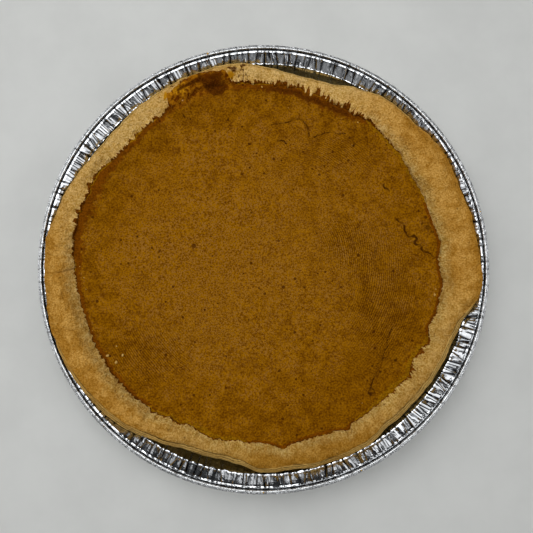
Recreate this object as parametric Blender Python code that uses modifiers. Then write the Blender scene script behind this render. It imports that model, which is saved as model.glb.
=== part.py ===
"""A pumpkin pie in its foil tin: the pleated tin, the pastry case and the custard filling.

Metres, +Z up. The origin is the middle of the tin's base, on the surface that the tin stands on.
Directions round the pie are in degrees from +X, counter-clockwise seen from above.
"""

import math

import bmesh
import bpy

MM = 0.001

# The tin: a wrinkle-walled foil pan with a sloping flange and a rolled rim.
RIM_RADIUS = 122.0 * MM
RIM_TOP = 30.0 * MM
ROLL_RADIUS = 1.2 * MM
SHOULDER_RADIUS = 112.0 * MM
SHOULDER_HEIGHT = 25.0 * MM
WALL_FOOT_RADIUS = 96.8 * MM
WALL_FOOT_HEIGHT = 1.4 * MM
BASE_RADIUS = 94.5 * MM
FOIL_THICKNESS = 0.5 * MM
PLEATS = 96
PLEAT_DEPTH = 0.8 * MM
ROLL_POINTS = 6
# How much of the full pleat depth shows at each point of the wall's profile, from the axis outwards.
PLEAT_SHARES = (0.0, 0.0, 0.15, 1.0, 0.5)

# The pastry case.
CASE_COLUMNS = 144
FIT_GAP = 0.3 * MM
CASE_CLEARANCE = PLEAT_DEPTH / 2 + FIT_GAP + 0.1 * MM
FLOOR_THICKNESS = 4.0 * MM
FLOOR_RADIUS = 92.5 * MM
HIGHEST_CONTACT = 22.5 * MM
CUT_EDGE_HEIGHT = 3.5 * MM
OUTER_RADIUS = 111.0 * MM
WIDEST_OUTER_RADIUS = 119.2 * MM
LOW_CREST = 27.6 * MM
LOW_CREST_RADIUS = 106.5 * MM
CREST_CLIMB = 0.30
EDGE_DROP = 0.9 * MM

# The custard.
CUSTARD_LEVEL = 22.5 * MM
CUSTARD_RADIUS = 96.0 * MM
CUSTARD_SAG = 1.0 * MM
CUSTARD_RING_SWELL = 0.5 * MM
CUSTARD_RINGS = (0.86, 0.62, 0.32)

# Stretches round the pie: first and last degree, degrees over which it rises and fades, and the amount.
OUTER_STRETCHES = (
    (348.5, 50.0, 6.0, 34.0, 6.4 * MM),  # the wide flap at the right, over the flange
    (6.0, 36.0, 10.0, 26.0, -1.0 * MM),  # a shallow dip in that flap
    (67.5, 85.0, 15.0, 15.0, -2.6 * MM),  # shrunk off the tin at the top right
    (91.0, 140.0, 12.0, 10.0, 2.4 * MM),  # the top, against the shoulder
    (149.0, 225.0, 14.0, 34.0, 8.4 * MM),  # the left side, out to the rolled rim
    (150.0, 172.0, 12.0, 14.0, -1.6 * MM),  # that side's narrower start
    (244.0, 266.0, 16.0, 5.0, -4.4 * MM),  # shrunk off the tin at the bottom left
    (305.5, 342.0, 5.0, 8.0, -0.9 * MM),  # just off the wall at the lower right
)
INNER_STRETCHES = (
    (62.0, 238.0, 24.0, 14.0, 5.4 * MM),  # the custard's wide side, top and left
    (43.0, 57.0, 10.0, 10.0, 3.0 * MM),  # a wider place before it
    (82.0, 126.0, 14.0, 10.0, 2.6 * MM),  # the thin pastry at the top
    (147.0, 177.0, 12.0, 10.0, 4.6 * MM),  # the widest point, at the left
    (218.0, 236.0, 16.0, 10.0, -1.2 * MM),  # narrowing again towards the bottom
    (274.5, 277.5, 2.5, 2.5, 1.6 * MM),  # custard in a gap between two folds
    (312.0, 356.0, 10.0, 10.0, 1.4 * MM),  # the lower right
)
CUT_EDGE_WIDTHS = (
    (212.0, 346.0, 16.0, 6.0, 2.4 * MM),  # the cut edge that faces up along the bottom
    (42.0, 98.0, 16.0, 8.0, 0.9 * MM),  # a thinner one along the top
)
LEAST_CUT_WIDTH = 0.8 * MM

COLOURS = {
    "foil_tin": (0.80, 0.81, 0.82),
    "pastry_case": (0.55, 0.31, 0.11),
    "custard_filling": (0.30, 0.12, 0.012),
}


def smooth(share):
    """0 below 0 and 1 above 1, with a soft ramp between."""
    share = min(max(share, 0.0), 1.0)
    return share * share * (3.0 - 2.0 * share)


def turn_between(angle, reference):
    """Signed degrees from reference to angle, from -180 to 180."""
    return (angle - reference + 180.0) % 360.0 - 180.0


def stretches_at(angle, stretches):
    """The sum of the stretches' amounts at this angle."""
    total = 0.0
    for first, last, rise, fade, amount in stretches:
        entered = smooth(turn_between(angle, first) / rise + 0.5)
        left = smooth(0.5 - turn_between(angle, last) / fade)
        total += amount * entered * left
    return total


def ripple(angle, height, turns, start):
    """A wave with a whole number of turns round the pie."""
    return height * math.sin(math.radians(turns * angle + start))


def offset(profile, distance):
    """The open profile moved sideways: to its left, seen along its run in the (radius, height) plane."""
    normals = []
    for (r0, z0), (r1, z1) in zip(profile, profile[1:]):
        length = math.hypot(r1 - r0, z1 - z0)
        normals.append(((z0 - z1) / length, (r1 - r0) / length))
    moved = []
    for index, (r, z) in enumerate(profile):
        before = normals[max(index - 1, 0)]
        after = normals[min(index, len(normals) - 1)]
        mitre = 1.0 + before[0] * after[0] + before[1] * after[1]
        moved.append(
            (
                r + distance * (before[0] + after[0]) / mitre,
                z + distance * (before[1] + after[1]) / mitre,
            )
        )
    return moved


def height_on(profile, radius):
    """The profile's height at a radius, for a profile that runs outwards."""
    for (r0, z0), (r1, z1) in zip(profile, profile[1:]):
        if r0 <= radius <= r1:
            return z0 + (z1 - z0) * (radius - r0) / (r1 - r0)
    return profile[-1][1]


def radius_on(profile, height):
    """The profile's radius at a height, for a profile that climbs."""
    for (r0, z0), (r1, z1) in zip(profile, profile[1:]):
        if z0 <= height <= z1 and z1 > z0:
            return r0 + (r1 - r0) * (height - z0) / (z1 - z0)
    return profile[-1][0]


ROLL_CENTRE = (RIM_RADIUS - ROLL_RADIUS, RIM_TOP - ROLL_RADIUS)
TIN_INSIDE = (
    (0.0, FOIL_THICKNESS),
    (BASE_RADIUS, FOIL_THICKNESS),
    (WALL_FOOT_RADIUS, WALL_FOOT_HEIGHT),
    (SHOULDER_RADIUS, SHOULDER_HEIGHT),
    (ROLL_CENTRE[0] - ROLL_RADIUS, ROLL_CENTRE[1]),
)
CASE_LIMIT = offset(TIN_INSIDE, CASE_CLEARANCE)
CASE_UNDERSIDE = FOIL_THICKNESS + FIT_GAP
CASE_FLOOR = CASE_UNDERSIDE + FLOOR_THICKNESS


def outer_radius(angle):
    """The pastry's outer edge, seen from above."""
    radius = OUTER_RADIUS + stretches_at(angle, OUTER_STRETCHES)
    radius += ripple(angle, 0.25 * MM, 17, 40) + ripple(angle, 0.2 * MM, 29, 110)
    return min(radius, WIDEST_OUTER_RADIUS)


def inner_radius(angle):
    """Where the custard meets the pastry."""
    radius = CUSTARD_RADIUS + stretches_at(angle, INNER_STRETCHES)
    return radius + ripple(angle, 0.35 * MM, 19, 200) + ripple(angle, 0.25 * MM, 31, 15)


def crest_height(angle):
    """The pastry's highest point: it climbs with the flange where the edge reaches out."""
    climb = CREST_CLIMB * (outer_radius(angle) - LOW_CREST_RADIUS)
    return LOW_CREST + climb + ripple(angle, 0.3 * MM, 13, 70)


def case_section(angle):
    """The pastry's closed section at an angle, as (radius, height), from under the axis to above it."""
    outer = outer_radius(angle)
    inner = inner_radius(angle)
    crest = crest_height(angle)
    edge = crest - EDGE_DROP
    cut_width = LEAST_CUT_WIDTH + stretches_at(angle, CUT_EDGE_WIDTHS)

    foot, knee, shoulder = CASE_LIMIT[1], CASE_LIMIT[2], CASE_LIMIT[3]
    contact_radius = min(radius_on(CASE_LIMIT, HIGHEST_CONTACT), outer - 1.6 * MM)
    contact = (contact_radius, height_on(CASE_LIMIT, contact_radius))
    edge_foot = edge - CUT_EDGE_HEIGHT
    if outer > shoulder[0]:
        edge_foot = max(edge_foot, height_on(CASE_LIMIT, outer))
    neck_radius = min(shoulder[0], contact[0] + 0.6 * (outer - contact[0]))
    neck_height = contact[1] + 0.6 * (edge_foot - contact[1])
    neck_height = max(neck_height, height_on(CASE_LIMIT, neck_radius))

    width = outer - cut_width - inner
    rise = crest - CUSTARD_LEVEL
    return [
        (0.0, CASE_UNDERSIDE),
        (foot[0], CASE_UNDERSIDE),
        knee,
        contact,
        (neck_radius, neck_height),
        (outer, edge_foot),
        (outer - cut_width, edge),
        (inner + 0.78 * width, crest - 0.25 * EDGE_DROP),
        (inner + 0.52 * width, crest),
        (inner + 0.26 * width, CUSTARD_LEVEL + 0.78 * rise),
        (inner + 0.08 * width, CUSTARD_LEVEL + 0.40 * rise),
        (inner, CUSTARD_LEVEL),
        (FLOOR_RADIUS, CASE_FLOOR),
        (0.0, CASE_FLOOR),
    ]


def custard_section(angle):
    """The custard's closed section at an angle, inside the pastry by the fitting gap."""
    edge = inner_radius(angle) - FIT_GAP
    section = [
        (0.0, CASE_FLOOR + FIT_GAP),
        (FLOOR_RADIUS - 2.0 * FIT_GAP, CASE_FLOOR + FIT_GAP),
        (edge, CUSTARD_LEVEL),
    ]
    for share in CUSTARD_RINGS:
        swell = CUSTARD_RING_SWELL * math.sin(math.pi * share) ** 2
        unevenness = ripple(angle, 0.3 * MM * share, 3, 400 * share)
        sag = CUSTARD_SAG * (1.0 - share**2)
        section.append((edge * share, CUSTARD_LEVEL - sag + swell + unevenness))
    section.append((0.0, CUSTARD_LEVEL - CUSTARD_SAG))
    return section


def panel(body, a, b, c, d):
    """Two triangles for a four-cornered panel, split so that neighbouring bodies split alike.

    The split always climbs counter-clockwise, from the lower end of a-d to the upper end of b-c.
    """
    if a.co.z <= d.co.z:
        body.faces.new((a, b, c))
        body.faces.new((a, c, d))
    else:
        body.faces.new((a, b, d))
        body.faces.new((b, c, d))


def round_loft(name, columns, section):
    """A closed body through the sections at even angles. Each section starts and ends on the axis."""
    body = bmesh.new()
    ends = section(0.0)
    bottom = body.verts.new((0.0, 0.0, ends[0][1]))
    top = body.verts.new((0.0, 0.0, ends[-1][1]))
    rings = []
    for column in range(columns):
        angle = 360.0 * column / columns
        x, y = math.cos(math.radians(angle)), math.sin(math.radians(angle))
        rings.append([body.verts.new((r * x, r * y, z)) for r, z in section(angle)[1:-1]])
    for column, here in enumerate(rings):
        there = rings[(column + 1) % columns]
        body.faces.new((bottom, there[0], here[0]))
        for low in range(len(here) - 1):
            panel(body, here[low], there[low], there[low + 1], here[low + 1])
        body.faces.new((top, here[-1], there[-1]))
    mesh = bpy.data.meshes.new(name)
    body.to_mesh(mesh)
    body.free()
    return bpy.data.objects.new(name, mesh)


def turned(name, profile, steps):
    """A closed body turned from an open profile that starts and ends on the axis."""
    mesh = bpy.data.meshes.new(name + "_profile")
    edges = [(index, index + 1) for index in range(len(profile) - 1)]
    mesh.from_pydata([(r, 0.0, z) for r, z in profile], edges, [])
    blank = bpy.data.objects.new(name + "_profile", mesh)
    bpy.context.scene.collection.objects.link(blank)
    screw = blank.modifiers.new("turn", "SCREW")
    screw.steps = screw.render_steps = steps
    screw.use_merge_vertices = True
    screw.merge_threshold = 0.01 * MM
    screw.use_smooth_shade = False
    graph = bpy.context.evaluated_depsgraph_get()
    solid = bpy.data.meshes.new_from_object(blank.evaluated_get(graph))
    bpy.data.objects.remove(blank)
    bpy.data.meshes.remove(mesh)
    return bpy.data.objects.new(name, solid)


def roll_profile():
    """The rolled rim's round outside, from the flange's underside round to its top."""
    points = []
    for step in range(ROLL_POINTS):
        turn = math.radians(205.0 + 290.0 * step / (ROLL_POINTS - 1))
        points.append(
            (
                ROLL_CENTRE[0] + ROLL_RADIUS * math.cos(turn),
                ROLL_CENTRE[1] + ROLL_RADIUS * math.sin(turn),
            )
        )
    return points


def pleat(mesh, shares, steps):
    """Moves every second column of the wall in and up, and the others out and down."""
    for vertex in mesh.vertices:
        radius = math.hypot(vertex.co.x, vertex.co.y)
        if radius < BASE_RADIUS or radius > ROLL_CENTRE[0] - ROLL_RADIUS / 2:
            continue
        share = height_on(shares, radius)
        column = round(math.atan2(vertex.co.y, vertex.co.x) / math.tau * steps)
        lift = PLEAT_DEPTH / 2 * share * (1 if column % 2 else -1)
        inwards = (radius - lift * math.sqrt(0.5)) / radius
        vertex.co.x *= inwards
        vertex.co.y *= inwards
        vertex.co.z += lift * math.sqrt(0.5)


def make_tin():
    """One sheet of foil: flat base, pleated wall and flange, rolled rim."""
    outside = offset(TIN_INSIDE, -FOIL_THICKNESS)[:-1]
    profile = outside + roll_profile() + list(reversed(TIN_INSIDE[:-1]))
    steps = 2 * PLEATS
    tin = turned("foil_tin", list(reversed(profile)), steps)
    shares = [(r, share) for (r, _), share in zip(TIN_INSIDE, PLEAT_SHARES)]
    pleat(tin.data, shares, steps)
    return tin


def finish(obj, collection, metallic, roughness):
    """Links the object and gives it its own material."""
    material = bpy.data.materials.new(obj.name)
    material.use_nodes = True
    shader = material.node_tree.nodes["Principled BSDF"]
    shader.inputs["Base Color"].default_value = (*COLOURS[obj.name], 1.0)
    shader.inputs["Metallic"].default_value = metallic
    shader.inputs["Roughness"].default_value = roughness
    obj.data.materials.clear()
    obj.data.materials.append(material)
    obj.data.shade_smooth()
    obj.data.set_sharp_from_angle(angle=math.radians(35.0))
    collection.objects.link(obj)


def main():
    for obj in list(bpy.data.objects):
        bpy.data.objects.remove(obj)
    pie = bpy.data.collections.new("pumpkin_pie")
    bpy.context.scene.collection.children.link(pie)
    finish(make_tin(), pie, 1.0, 0.25)
    finish(round_loft("pastry_case", CASE_COLUMNS, case_section), pie, 0.0, 0.85)
    finish(round_loft("custard_filling", CASE_COLUMNS, custard_section), pie, 0.0, 0.6)


main()
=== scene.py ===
"""A pumpkin pie in its foil tin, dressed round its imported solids.

Shapes are worked out in millimetres and turned into metres when their mesh is made. The origin is the
middle of the tin's base. Directions round the pie are in degrees from +X, counter-clockwise from above.
"""

import math

import bpy
import numpy as np
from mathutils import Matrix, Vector


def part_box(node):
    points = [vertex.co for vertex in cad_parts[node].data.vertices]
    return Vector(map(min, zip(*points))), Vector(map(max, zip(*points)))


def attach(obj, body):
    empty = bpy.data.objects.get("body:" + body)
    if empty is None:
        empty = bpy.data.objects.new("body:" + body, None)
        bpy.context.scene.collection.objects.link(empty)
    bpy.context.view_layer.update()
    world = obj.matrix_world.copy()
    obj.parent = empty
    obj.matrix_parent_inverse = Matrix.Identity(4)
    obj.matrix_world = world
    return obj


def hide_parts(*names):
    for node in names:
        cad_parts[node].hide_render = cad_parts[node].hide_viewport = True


bl_info = {
    "name": "Pumpkin Pie",
    "version": (1, 0, 0),
    "blender": (4, 5, 0),
    "location": "3D View > Sidebar > Pumpkin Pie",
    "description": "Builds a pumpkin pie in its foil tin: creased foil, baked pastry, custard and crumbs",
    "category": "Add Mesh",
}

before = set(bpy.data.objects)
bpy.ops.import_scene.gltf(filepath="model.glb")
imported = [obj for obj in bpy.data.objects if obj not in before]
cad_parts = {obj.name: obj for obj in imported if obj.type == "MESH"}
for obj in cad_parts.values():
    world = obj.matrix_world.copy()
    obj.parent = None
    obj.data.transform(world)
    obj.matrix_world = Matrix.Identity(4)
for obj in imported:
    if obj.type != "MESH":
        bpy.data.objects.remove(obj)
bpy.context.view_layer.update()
MM = 0.001

# Outlines round the pie, as (degrees, millimetres from the middle).
PASTRY_EDGE = (
    (2.8, 116.7), (9.8, 116.2), (12.9, 116.8), (17.9, 116.1), (25, 116.1), (28.1, 116.8), (33.2, 116.1),
    (38.3, 115.0), (43.4, 114.3), (48.5, 114.4), (53.7, 114.4), (58.9, 112.8), (64, 111.4), (66.6, 109.8),
    (69.1, 108.6), (74.3, 107.8), (79.5, 107.9), (84.6, 109.1), (89.8, 111.2), (95, 113.2), (100.2, 113.7),
    (110.5, 113.1), (120.9, 112.5), (131.2, 112.3), (138.4, 111.4), (144.6, 111.5), (151.8, 113.2),
    (156.9, 115.1), (161.9, 116.5), (172.1, 116.9), (177.1, 118.2), (182.2, 118.8), (192.2, 118.9),
    (197.2, 119.6), (202.2, 119.4), (207.1, 118.8), (212.1, 118.3), (217, 117.5), (221.9, 116.8),
    (226.8, 116), (231.7, 114.5), (236.5, 112.4), (241.4, 110.7), (246.2, 108.8), (251.1, 107.9),
    (255.9, 107.5), (260.7, 108), (265.4, 109.3), (268.3, 111.9), (275, 111.8), (279.8, 111.5),
    (284.6, 112.1), (289.4, 112.3), (294.2, 112.6), (299, 112.2), (301.9, 111.9), (306.7, 110.4),
    (313.4, 110.5), (318.3, 110.6), (328.1, 110.8), (337.9, 111.1), (342.8, 112), (345.9, 114),
    (347.8, 115.1), (349.8, 117.1), (352.8, 117.9), (355.8, 118.2),
)
SHORELINE = (
    (2.7, 95.1), (5.7, 96.4), (12.7, 95.3), (17.8, 94.5), (23.9, 95), (30, 94.6), (35.1, 95.4),
    (38.2, 96.4), (43.3, 96.7), (48.5, 97.6), (53.6, 97.8), (58.8, 96.2), (63.9, 96.4),
    (69.1, 97.2), (74.3, 97.5), (81.5, 99.4), (89.8, 99.8), (95, 100.6), (100.2, 101.5),
    (110.5, 103), (121.9, 100.8), (126, 98.4), (131.2, 99.4), (136.3, 98.2), (141.5, 99),
    (146.6, 100.6), (151.7, 103.2), (156.8, 102.4), (161.9, 103.1), (167, 103.8), (172, 104.6),
    (177.1, 103.1), (182.2, 102.4), (187.3, 101.6), (192.3, 101.2), (197.3, 100.1), (202.3, 100),
    (207.2, 100.9), (212.1, 100.4), (217.1, 100), (222, 99.7), (226.9, 99.5), (233.7, 99.1),
    (236.6, 97.3), (241.5, 96.5), (246.3, 95.6), (251.1, 96.2), (255.9, 96.2), (260.7, 95.8),
    (265.5, 96), (270.2, 96.1), (273.1, 97.3), (276, 99.3), (279.8, 96.9), (284.6, 96.2),
    (289.3, 96.5), (294.1, 98), (296.1, 99.6), (298.9, 97.9), (303.7, 97.5), (308.6, 96.4),
    (313.4, 97.1), (318.3, 97.6), (323.1, 97.6), (326, 95), (330.9, 96), (334.9, 98.1), (337.8, 95),
    (342.8, 96.7), (347.7, 97.1), (352.7, 97.8), (357.7, 96),
)
# Width of the cut edge, where the layers of the pastry show.
CUT_EDGE = (
    (0, 0.6), (35, 0.7), (45, 1.4), (60, 1.9), (95, 1.7), (112, 1.4), (145, 1.6), (153, 0.7), (196, 0.6),
    (208, 1.8), (225, 3.1), (262, 3.4), (268, 2.8), (300, 3.3), (342, 3.1), (347, 1.6), (350, 0.7),
)
# The rolled rim's section: degrees round the tube, how far it is pressed in, share of the fold depth.
ROLL = (
    (212, 0.0, 0.05), (180, 0.0, 0.06), (150, 0.03, 0.1), (132, 0.0, 0.13), (116, 0.1, 0.14), (101, 0.34, 0.1),
    (86, 0.32, 0.1), (72, 0.08, 0.14), (56, 0.0, 0.12), (32, 0.04, 0.08), (0, 0.0, 0.06), (-40, 0.0, 0.05),
    (-85, 0.0, 0.05), (-130, 0.0, 0.05),
)
# How far the custard's brown juice has soaked into the pastry from the shoreline.
SOAK = (
    (0, 0.4), (40, 0.4), (52, 0.7), (58, 2.2), (62, 3.6), (78, 3.6), (84, 2.0), (98, 1.1), (106, 0.6), (120, 0.8),
    (126, 1.5), (150, 1.6), (168, 1.2), (180, 0.5), (232, 0.5), (240, 0.7), (268, 0.4), (302, 0.5), (312, 0.8),
    (321, 1.2), (325, 3.0), (328, 1.0), (331, 2.2), (335, 0.5),
)
# How much higher the custard stands where it meets the pastry.
RISE = (
    (0, 1.5), (50, 1.8), (62, 2.6), (165, 2.7), (178, 1.6), (195, 1.0), (228, 1.0), (245, 2.0), (265, 2.0),
    (280, 1.5), (340, 1.5),
)
# How far the pastry's top is paler (up to 1) or browner (down to -1) than its usual gold: partly its real bake, partly
# painted light on the north and north-west inner banks.
PALLOR_AND_LIGHT = (
    (0, -0.1), (40, -0.1), (56, 0.25), (66, 0.8), (96, 0.8), (104, 0.5), (122, 0.6), (135, 0.85), (150, 0.65),
    (165, 0.4), (175, -0.05), (190, -0.2), (215, -0.2), (232, 0.05), (242, 0.25), (255, 0.4), (264, 0.1),
    (272, -0.4), (284, -0.55), (296, -0.3), (304, 0.1), (314, 0.4), (335, 0.4), (346, 0.2), (352, -0.1),
)
# How much darker the pastry is painted, partly a browner bake and partly painted shade: angle, near the custard and on
# the top.
SHADE = (
    (0, 1.0, 0.1), (30, 0.9, 0.1), (48, 0.3, 0.0), (60, 0.0, 0.0), (110, 0.0, 0.0), (140, 0.15, 0.1), (165, 0.25, 0.0),
    (182, 0.4, 0.0), (200, 0.9, 0.0), (232, 0.9, 0.1), (245, 0.8, 0.5), (258, 0.9, 0.9), (285, 0.9, 0.9), (305, 0.9, 0.55), (345, 0.9, 0.35),
)
# How far a thin, yellower film of custard reaches in from the shoreline.
FILM = (
    (0, 0.5), (18, 0.7), (30, 2.0), (48, 2.4), (56, 0.5), (120, 0.3), (225, 0.3), (238, 2.0), (250, 3.0), (260, 2.4),
    (266, 0.6), (298, 0.6), (304, 2.0), (318, 3.2), (330, 2.4), (338, 0.6),
)
# Width of the darker border of the custard: caramelised, and on the west side also painted shadow cast by the pastry.
CARAMEL_AND_SHADE = (
    (0, 0.9), (40, 0.9), (52, 1.2), (58, 2.6), (62, 4.4), (70, 5.0), (82, 4.4), (92, 3.4), (100, 3.0), (122, 2.4),
    (140, 2.4), (147, 4.0), (153, 6.0), (168, 6.2), (176, 5.2), (182, 2.4), (190, 1.6), (230, 1.6), (250, 1.6),
    (262, 1.1), (300, 1.0), (320, 1.6), (326, 2.4), (335, 1.0),
)
# How jagged the pastry's inner edge is, in millimetres.
JAGGED = (
    (0, 0.08), (44, 0.1), (56, 0.25), (62, 0.4), (98, 0.3), (116, 0.4), (124, 0.3), (152, 0.3), (168, 0.3),
    (178, 0.25), (228, 0.25), (240, 0.3), (262, 0.2), (270, 0.1), (345, 0.1), (352, 0.08),
)
# How rounded the pastry's inner face is: 1 for a soft bank, 0 for a flat top with a steep edge.
BANK = (
    (0, 0.6), (45, 0.5), (58, 0.2), (165, 0.2), (178, 0.6), (190, 1.0), (228, 0.9), (240, 0.4), (262, 0.3),
    (275, 0.6), (340, 0.5),
)
# The patch at the top where custard boiled over onto the pastry.
BOIL_OVER = (
    (100.1, 0), (100.9, 5.2), (102.4, 6.2), (104, 6.6), (107, 7.2), (109.5, 7.6), (112.7, 6.9), (116, 6.8),
    (119.4, 5.8), (120.4, 4.4), (121.2, 0),
)
# Grooves across the pastry: degrees at the custard and at the edge, depth, half-width in degrees.
GROOVES = (
    (181.9, 184.6, 1.0, 0.55), (297.2, 296.0, 1.2, 0.9), (276.2, 276.6, 0.8, 0.8), (289.0, 288.4, 0.6, 1.0),
    (270.2, 270.0, 0.5, 1.1), (96.2, 98.4, 0.55, 0.38), (97.8, 99.6, 0.6, 0.35), (99.2, 100.6, 0.5, 0.3),
    (94.6, 97.0, 0.35, 0.4), (325.8, 326.6, 0.7, 0.7), (337.0, 338.2, 0.6, 0.8), (5.9, 7.2, 0.5, 0.9),
    (22.0, 25.0, 0.35, 0.8), (38.5, 37.0, 0.4, 0.9), (57.4, 57.0, 0.4, 1.0), (236.0, 234.0, 0.5, 0.8),
    (312.0, 311.5, 0.4, 1.0), (147.5, 148.0, 0.4, 0.9), (127.0, 127.5, 0.5, 0.9), (281.8, 281.0, 0.4, 0.8),
)
# Cracks in the custard's skin, as points in millimetres, with depth, half-width and step.
CRACKS = (
    ("upper", ((3.5, 77.7), (10, 79.0), (17.1, 80.6), (21.0, 80.2), (23.3, 78.9), (26.1, 71.9)), 0.75, 0.42, 0.35),
    ("upper_right", ((28.9, 71.6), (34, 72.4), (39.6, 73.1), (45.3, 73.1)), 0.5, 0.4, 0.25),
    ("far_right", ((47.0, 71.0), (53.1, 66.2), (62.6, 66.2)), 0.25, 0.45, 0.2),
    ("short", ((8.0, 69.6), (10.9, 69.4), (13.4, 67.3)), 0.6, 0.42, 0.1),
    ("chevron_a", ((-46.2, 85.3), (-43.9, 81.8), (-41.1, 80.6)), 0.5, 0.4, 0.2),
    ("chevron_b", ((-43.9, 81.8), (-45.6, 80.9), (-46.9, 80.9)), 0.3, 0.4, 0.1),
    ("right_tick", ((66.2, 44.4), (68.9, 39.8)), 0.5, 0.4, 0.1),
    ("right_fold", ((75.2, 22.9), (78.4, 17.8), (82.6, 13.9), (87.2, 9.6), (92.0, 4.4)), 0.9, 0.6, 0.6),
    ("plateau_right", ((68.5, 21.8), (67.3, 15), (63.9, 14.5), (61.5, 2.8)), 0.22, 0.5, 0.25),
    ("lower_right", ((69.8, -36.3), (65.5, -49.5), (62.1, -56.2), (57.5, -71.7)), 0.42, 0.5, 0.3),
    ("middle_a", ((-35.4, 19.5), (-28.7, 15), (-21.4, 10)), 0.14, 0.7, 0.05),
    ("middle_b", ((-26.8, -10.5), (-19.6, -14.4), (-13, -14.9)), 0.14, 0.7, 0.05),
)
# Dark pits in the custard, as (x, y, radius, depth).
PITS = (
    (-69.9, 14.5, 1.0, 0.7), (61.3, 34.7, 0.9, 0.5), (-17.4, 85.9, 0.9, 0.5), (-20.2, 81.2, 0.8, 0.4),
    (-12.3, 77.1, 0.7, 0.4), (50.5, 66.2, 1.0, 0.5), (90.7, 19.5, 1.5, 0.7), (93.0, 17.0, 1.0, 0.6),
    (87.5, 21.5, 0.9, 0.5), (58.8, -56.2, 0.9, 0.4), (63.1, -59.4, 1.0, 0.5), (71.4, -53, 1.1, 0.5),
)
# Bits of pastry lying on the custard, as (x, y, size).
BITS = (
    (-76.5, -50.3, 1.5), (-79.7, -54.1, 1.6), (-84.4, -50.6, 1.8), (-79.9, -45.5, 0.9), (-100.6, -2.2, 0.8),
    (-98.2, -8.3, 0.7), (-97.0, -14.7, 0.6), (93.3, -17.7, 1.6), (-1, 99.3, 1.1), (52.7, 78.9, 1.0),
    (94.0, -14.6, 0.6), (49.5, 66.6, 0.5), (-92.9, -37.1, 0.5),
)


# Drops of custard on the pastry, as (x, y, size).
DROPS = (
    (96.5, 2.5, 1.3), (97.9, 1.7, 0.7), (85.9, -52.1, 0.9), (81.8, -53.6, 0.8), (84.7, -56.0, 0.7), (-57.9, 91.6, 0.9),
    (-9.2, 111.2, 0.8),
)


def ramp(share):
    """0 below 0, 1 above 1 and soft between, for numbers or arrays."""
    share = np.clip(share, 0.0, 1.0)
    return share * share * (3.0 - 2.0 * share)


def turn_between(angles, reference):
    """Signed degrees from reference to angles, from -180 to 180."""
    return (angles - reference + 180.0) % 360.0 - 180.0


def around(pairs, angles, softness=1.0):
    """A closed outline's value at angles, from its (degrees, value) pairs, with its corners softened."""
    fine = np.arange(0.0, 360.0, 0.25)
    turns, values = np.array(pairs).T
    line = np.interp(fine, turns, values, period=360.0)
    reach = np.arange(-24, 25) * 0.25
    weights = np.exp(-((reach / softness) ** 2))
    weights /= weights.sum()
    line = sum(weight * np.roll(line, shift) for weight, shift in zip(weights, range(-24, 25)))
    return np.interp(angles, fine, line, period=360.0)


def corner_values(x, y, z, seed):
    """A repeatable value from -1 to 1 at each whole-numbered point."""
    mixed = (x * 73856093) ^ (y * 19349663) ^ (z * 83492791) ^ (seed * 2654435761)
    mixed = (mixed & 0xFFFFFFFF).astype(np.uint32)
    mixed = (mixed ^ (mixed >> np.uint32(13))) * np.uint32(1540483477)
    mixed = (mixed ^ (mixed >> np.uint32(15))) * np.uint32(2246822519)
    return (mixed ^ (mixed >> np.uint32(13))) / 2147483647.5 - 1.0


def noise(points, size, seed=0, octaves=1):
    """Soft unevenness from about -1 to 1 at points (..., 3), with bumps about size across."""
    total, weight, weights = 0.0, 1.0, 0.0
    for octave in range(octaves):
        place = points * (2.0**octave / size) + 31.7 * octave
        cell = np.floor(place).astype(np.int64)
        share = place - cell
        share = share * share * share * (share * (share * 6.0 - 15.0) + 10.0)
        x, y, z = cell[..., 0], cell[..., 1], cell[..., 2]
        a, b, c = share[..., 0], share[..., 1], share[..., 2]
        layers = []
        for dz in (0, 1):
            rows = []
            for dy in (0, 1):
                near = corner_values(x, y + dy, z + dz, seed + octave)
                far = corner_values(x + 1, y + dy, z + dz, seed + octave)
                rows.append(near + (far - near) * a)
            layers.append(rows[0] + (rows[1] - rows[0]) * b)
        total = total + weight * (layers[0] + (layers[1] - layers[0]) * c)
        weights += weight
        weight *= 0.5
    return 1.6 * total / weights


def distance_to_path(x, y, path):
    """Distance from (x, y) to a path of points, and on which side of it they lie (1 is its left)."""
    nearest, side = np.full(x.shape, 1e9), np.zeros(x.shape)
    for (x0, y0), (x1, y1) in zip(path, path[1:]):
        dx, dy = x1 - x0, y1 - y0
        along = np.clip(((x - x0) * dx + (y - y0) * dy) / (dx * dx + dy * dy), 0.0, 1.0)
        away = np.hypot(x - x0 - along * dx, y - y0 - along * dy)
        turn = np.sign(dx * (y - y0) - dy * (x - x0))
        closer = away < nearest
        nearest = np.where(closer, away, nearest)
        side = np.where(closer, turn, side)
    return nearest, side


def blob(x, y, cx, cy, rx, ry=None):
    """A soft round patch: 1 at its middle and near 0 outside its radii."""
    return np.exp(-(((x - cx) / rx) ** 2 + ((y - cy) / (ry or rx)) ** 2))


# ---------------------------------------------------------------------------------------------------
# Meshes


def new_object(name, vertices, faces):
    """An object from points in millimetres."""
    mesh = bpy.data.meshes.new(name)
    mesh.from_pydata(np.asarray(vertices, float) * MM, [], faces)
    mesh.update()
    mesh.shade_smooth()
    obj = bpy.data.objects.new(name, mesh)
    bpy.context.scene.collection.objects.link(obj)
    return obj


def paint(obj, name, values):
    """Keeps one number for each vertex under a name that a material reads."""
    values = np.asarray(values, np.float32)
    kind = "FLOAT" if values.ndim == 1 else "FLOAT_VECTOR"
    attribute = obj.data.attributes.new(name, kind, "POINT")
    attribute.data.foreach_set("value" if kind == "FLOAT" else "vector", values.ravel())


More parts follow.
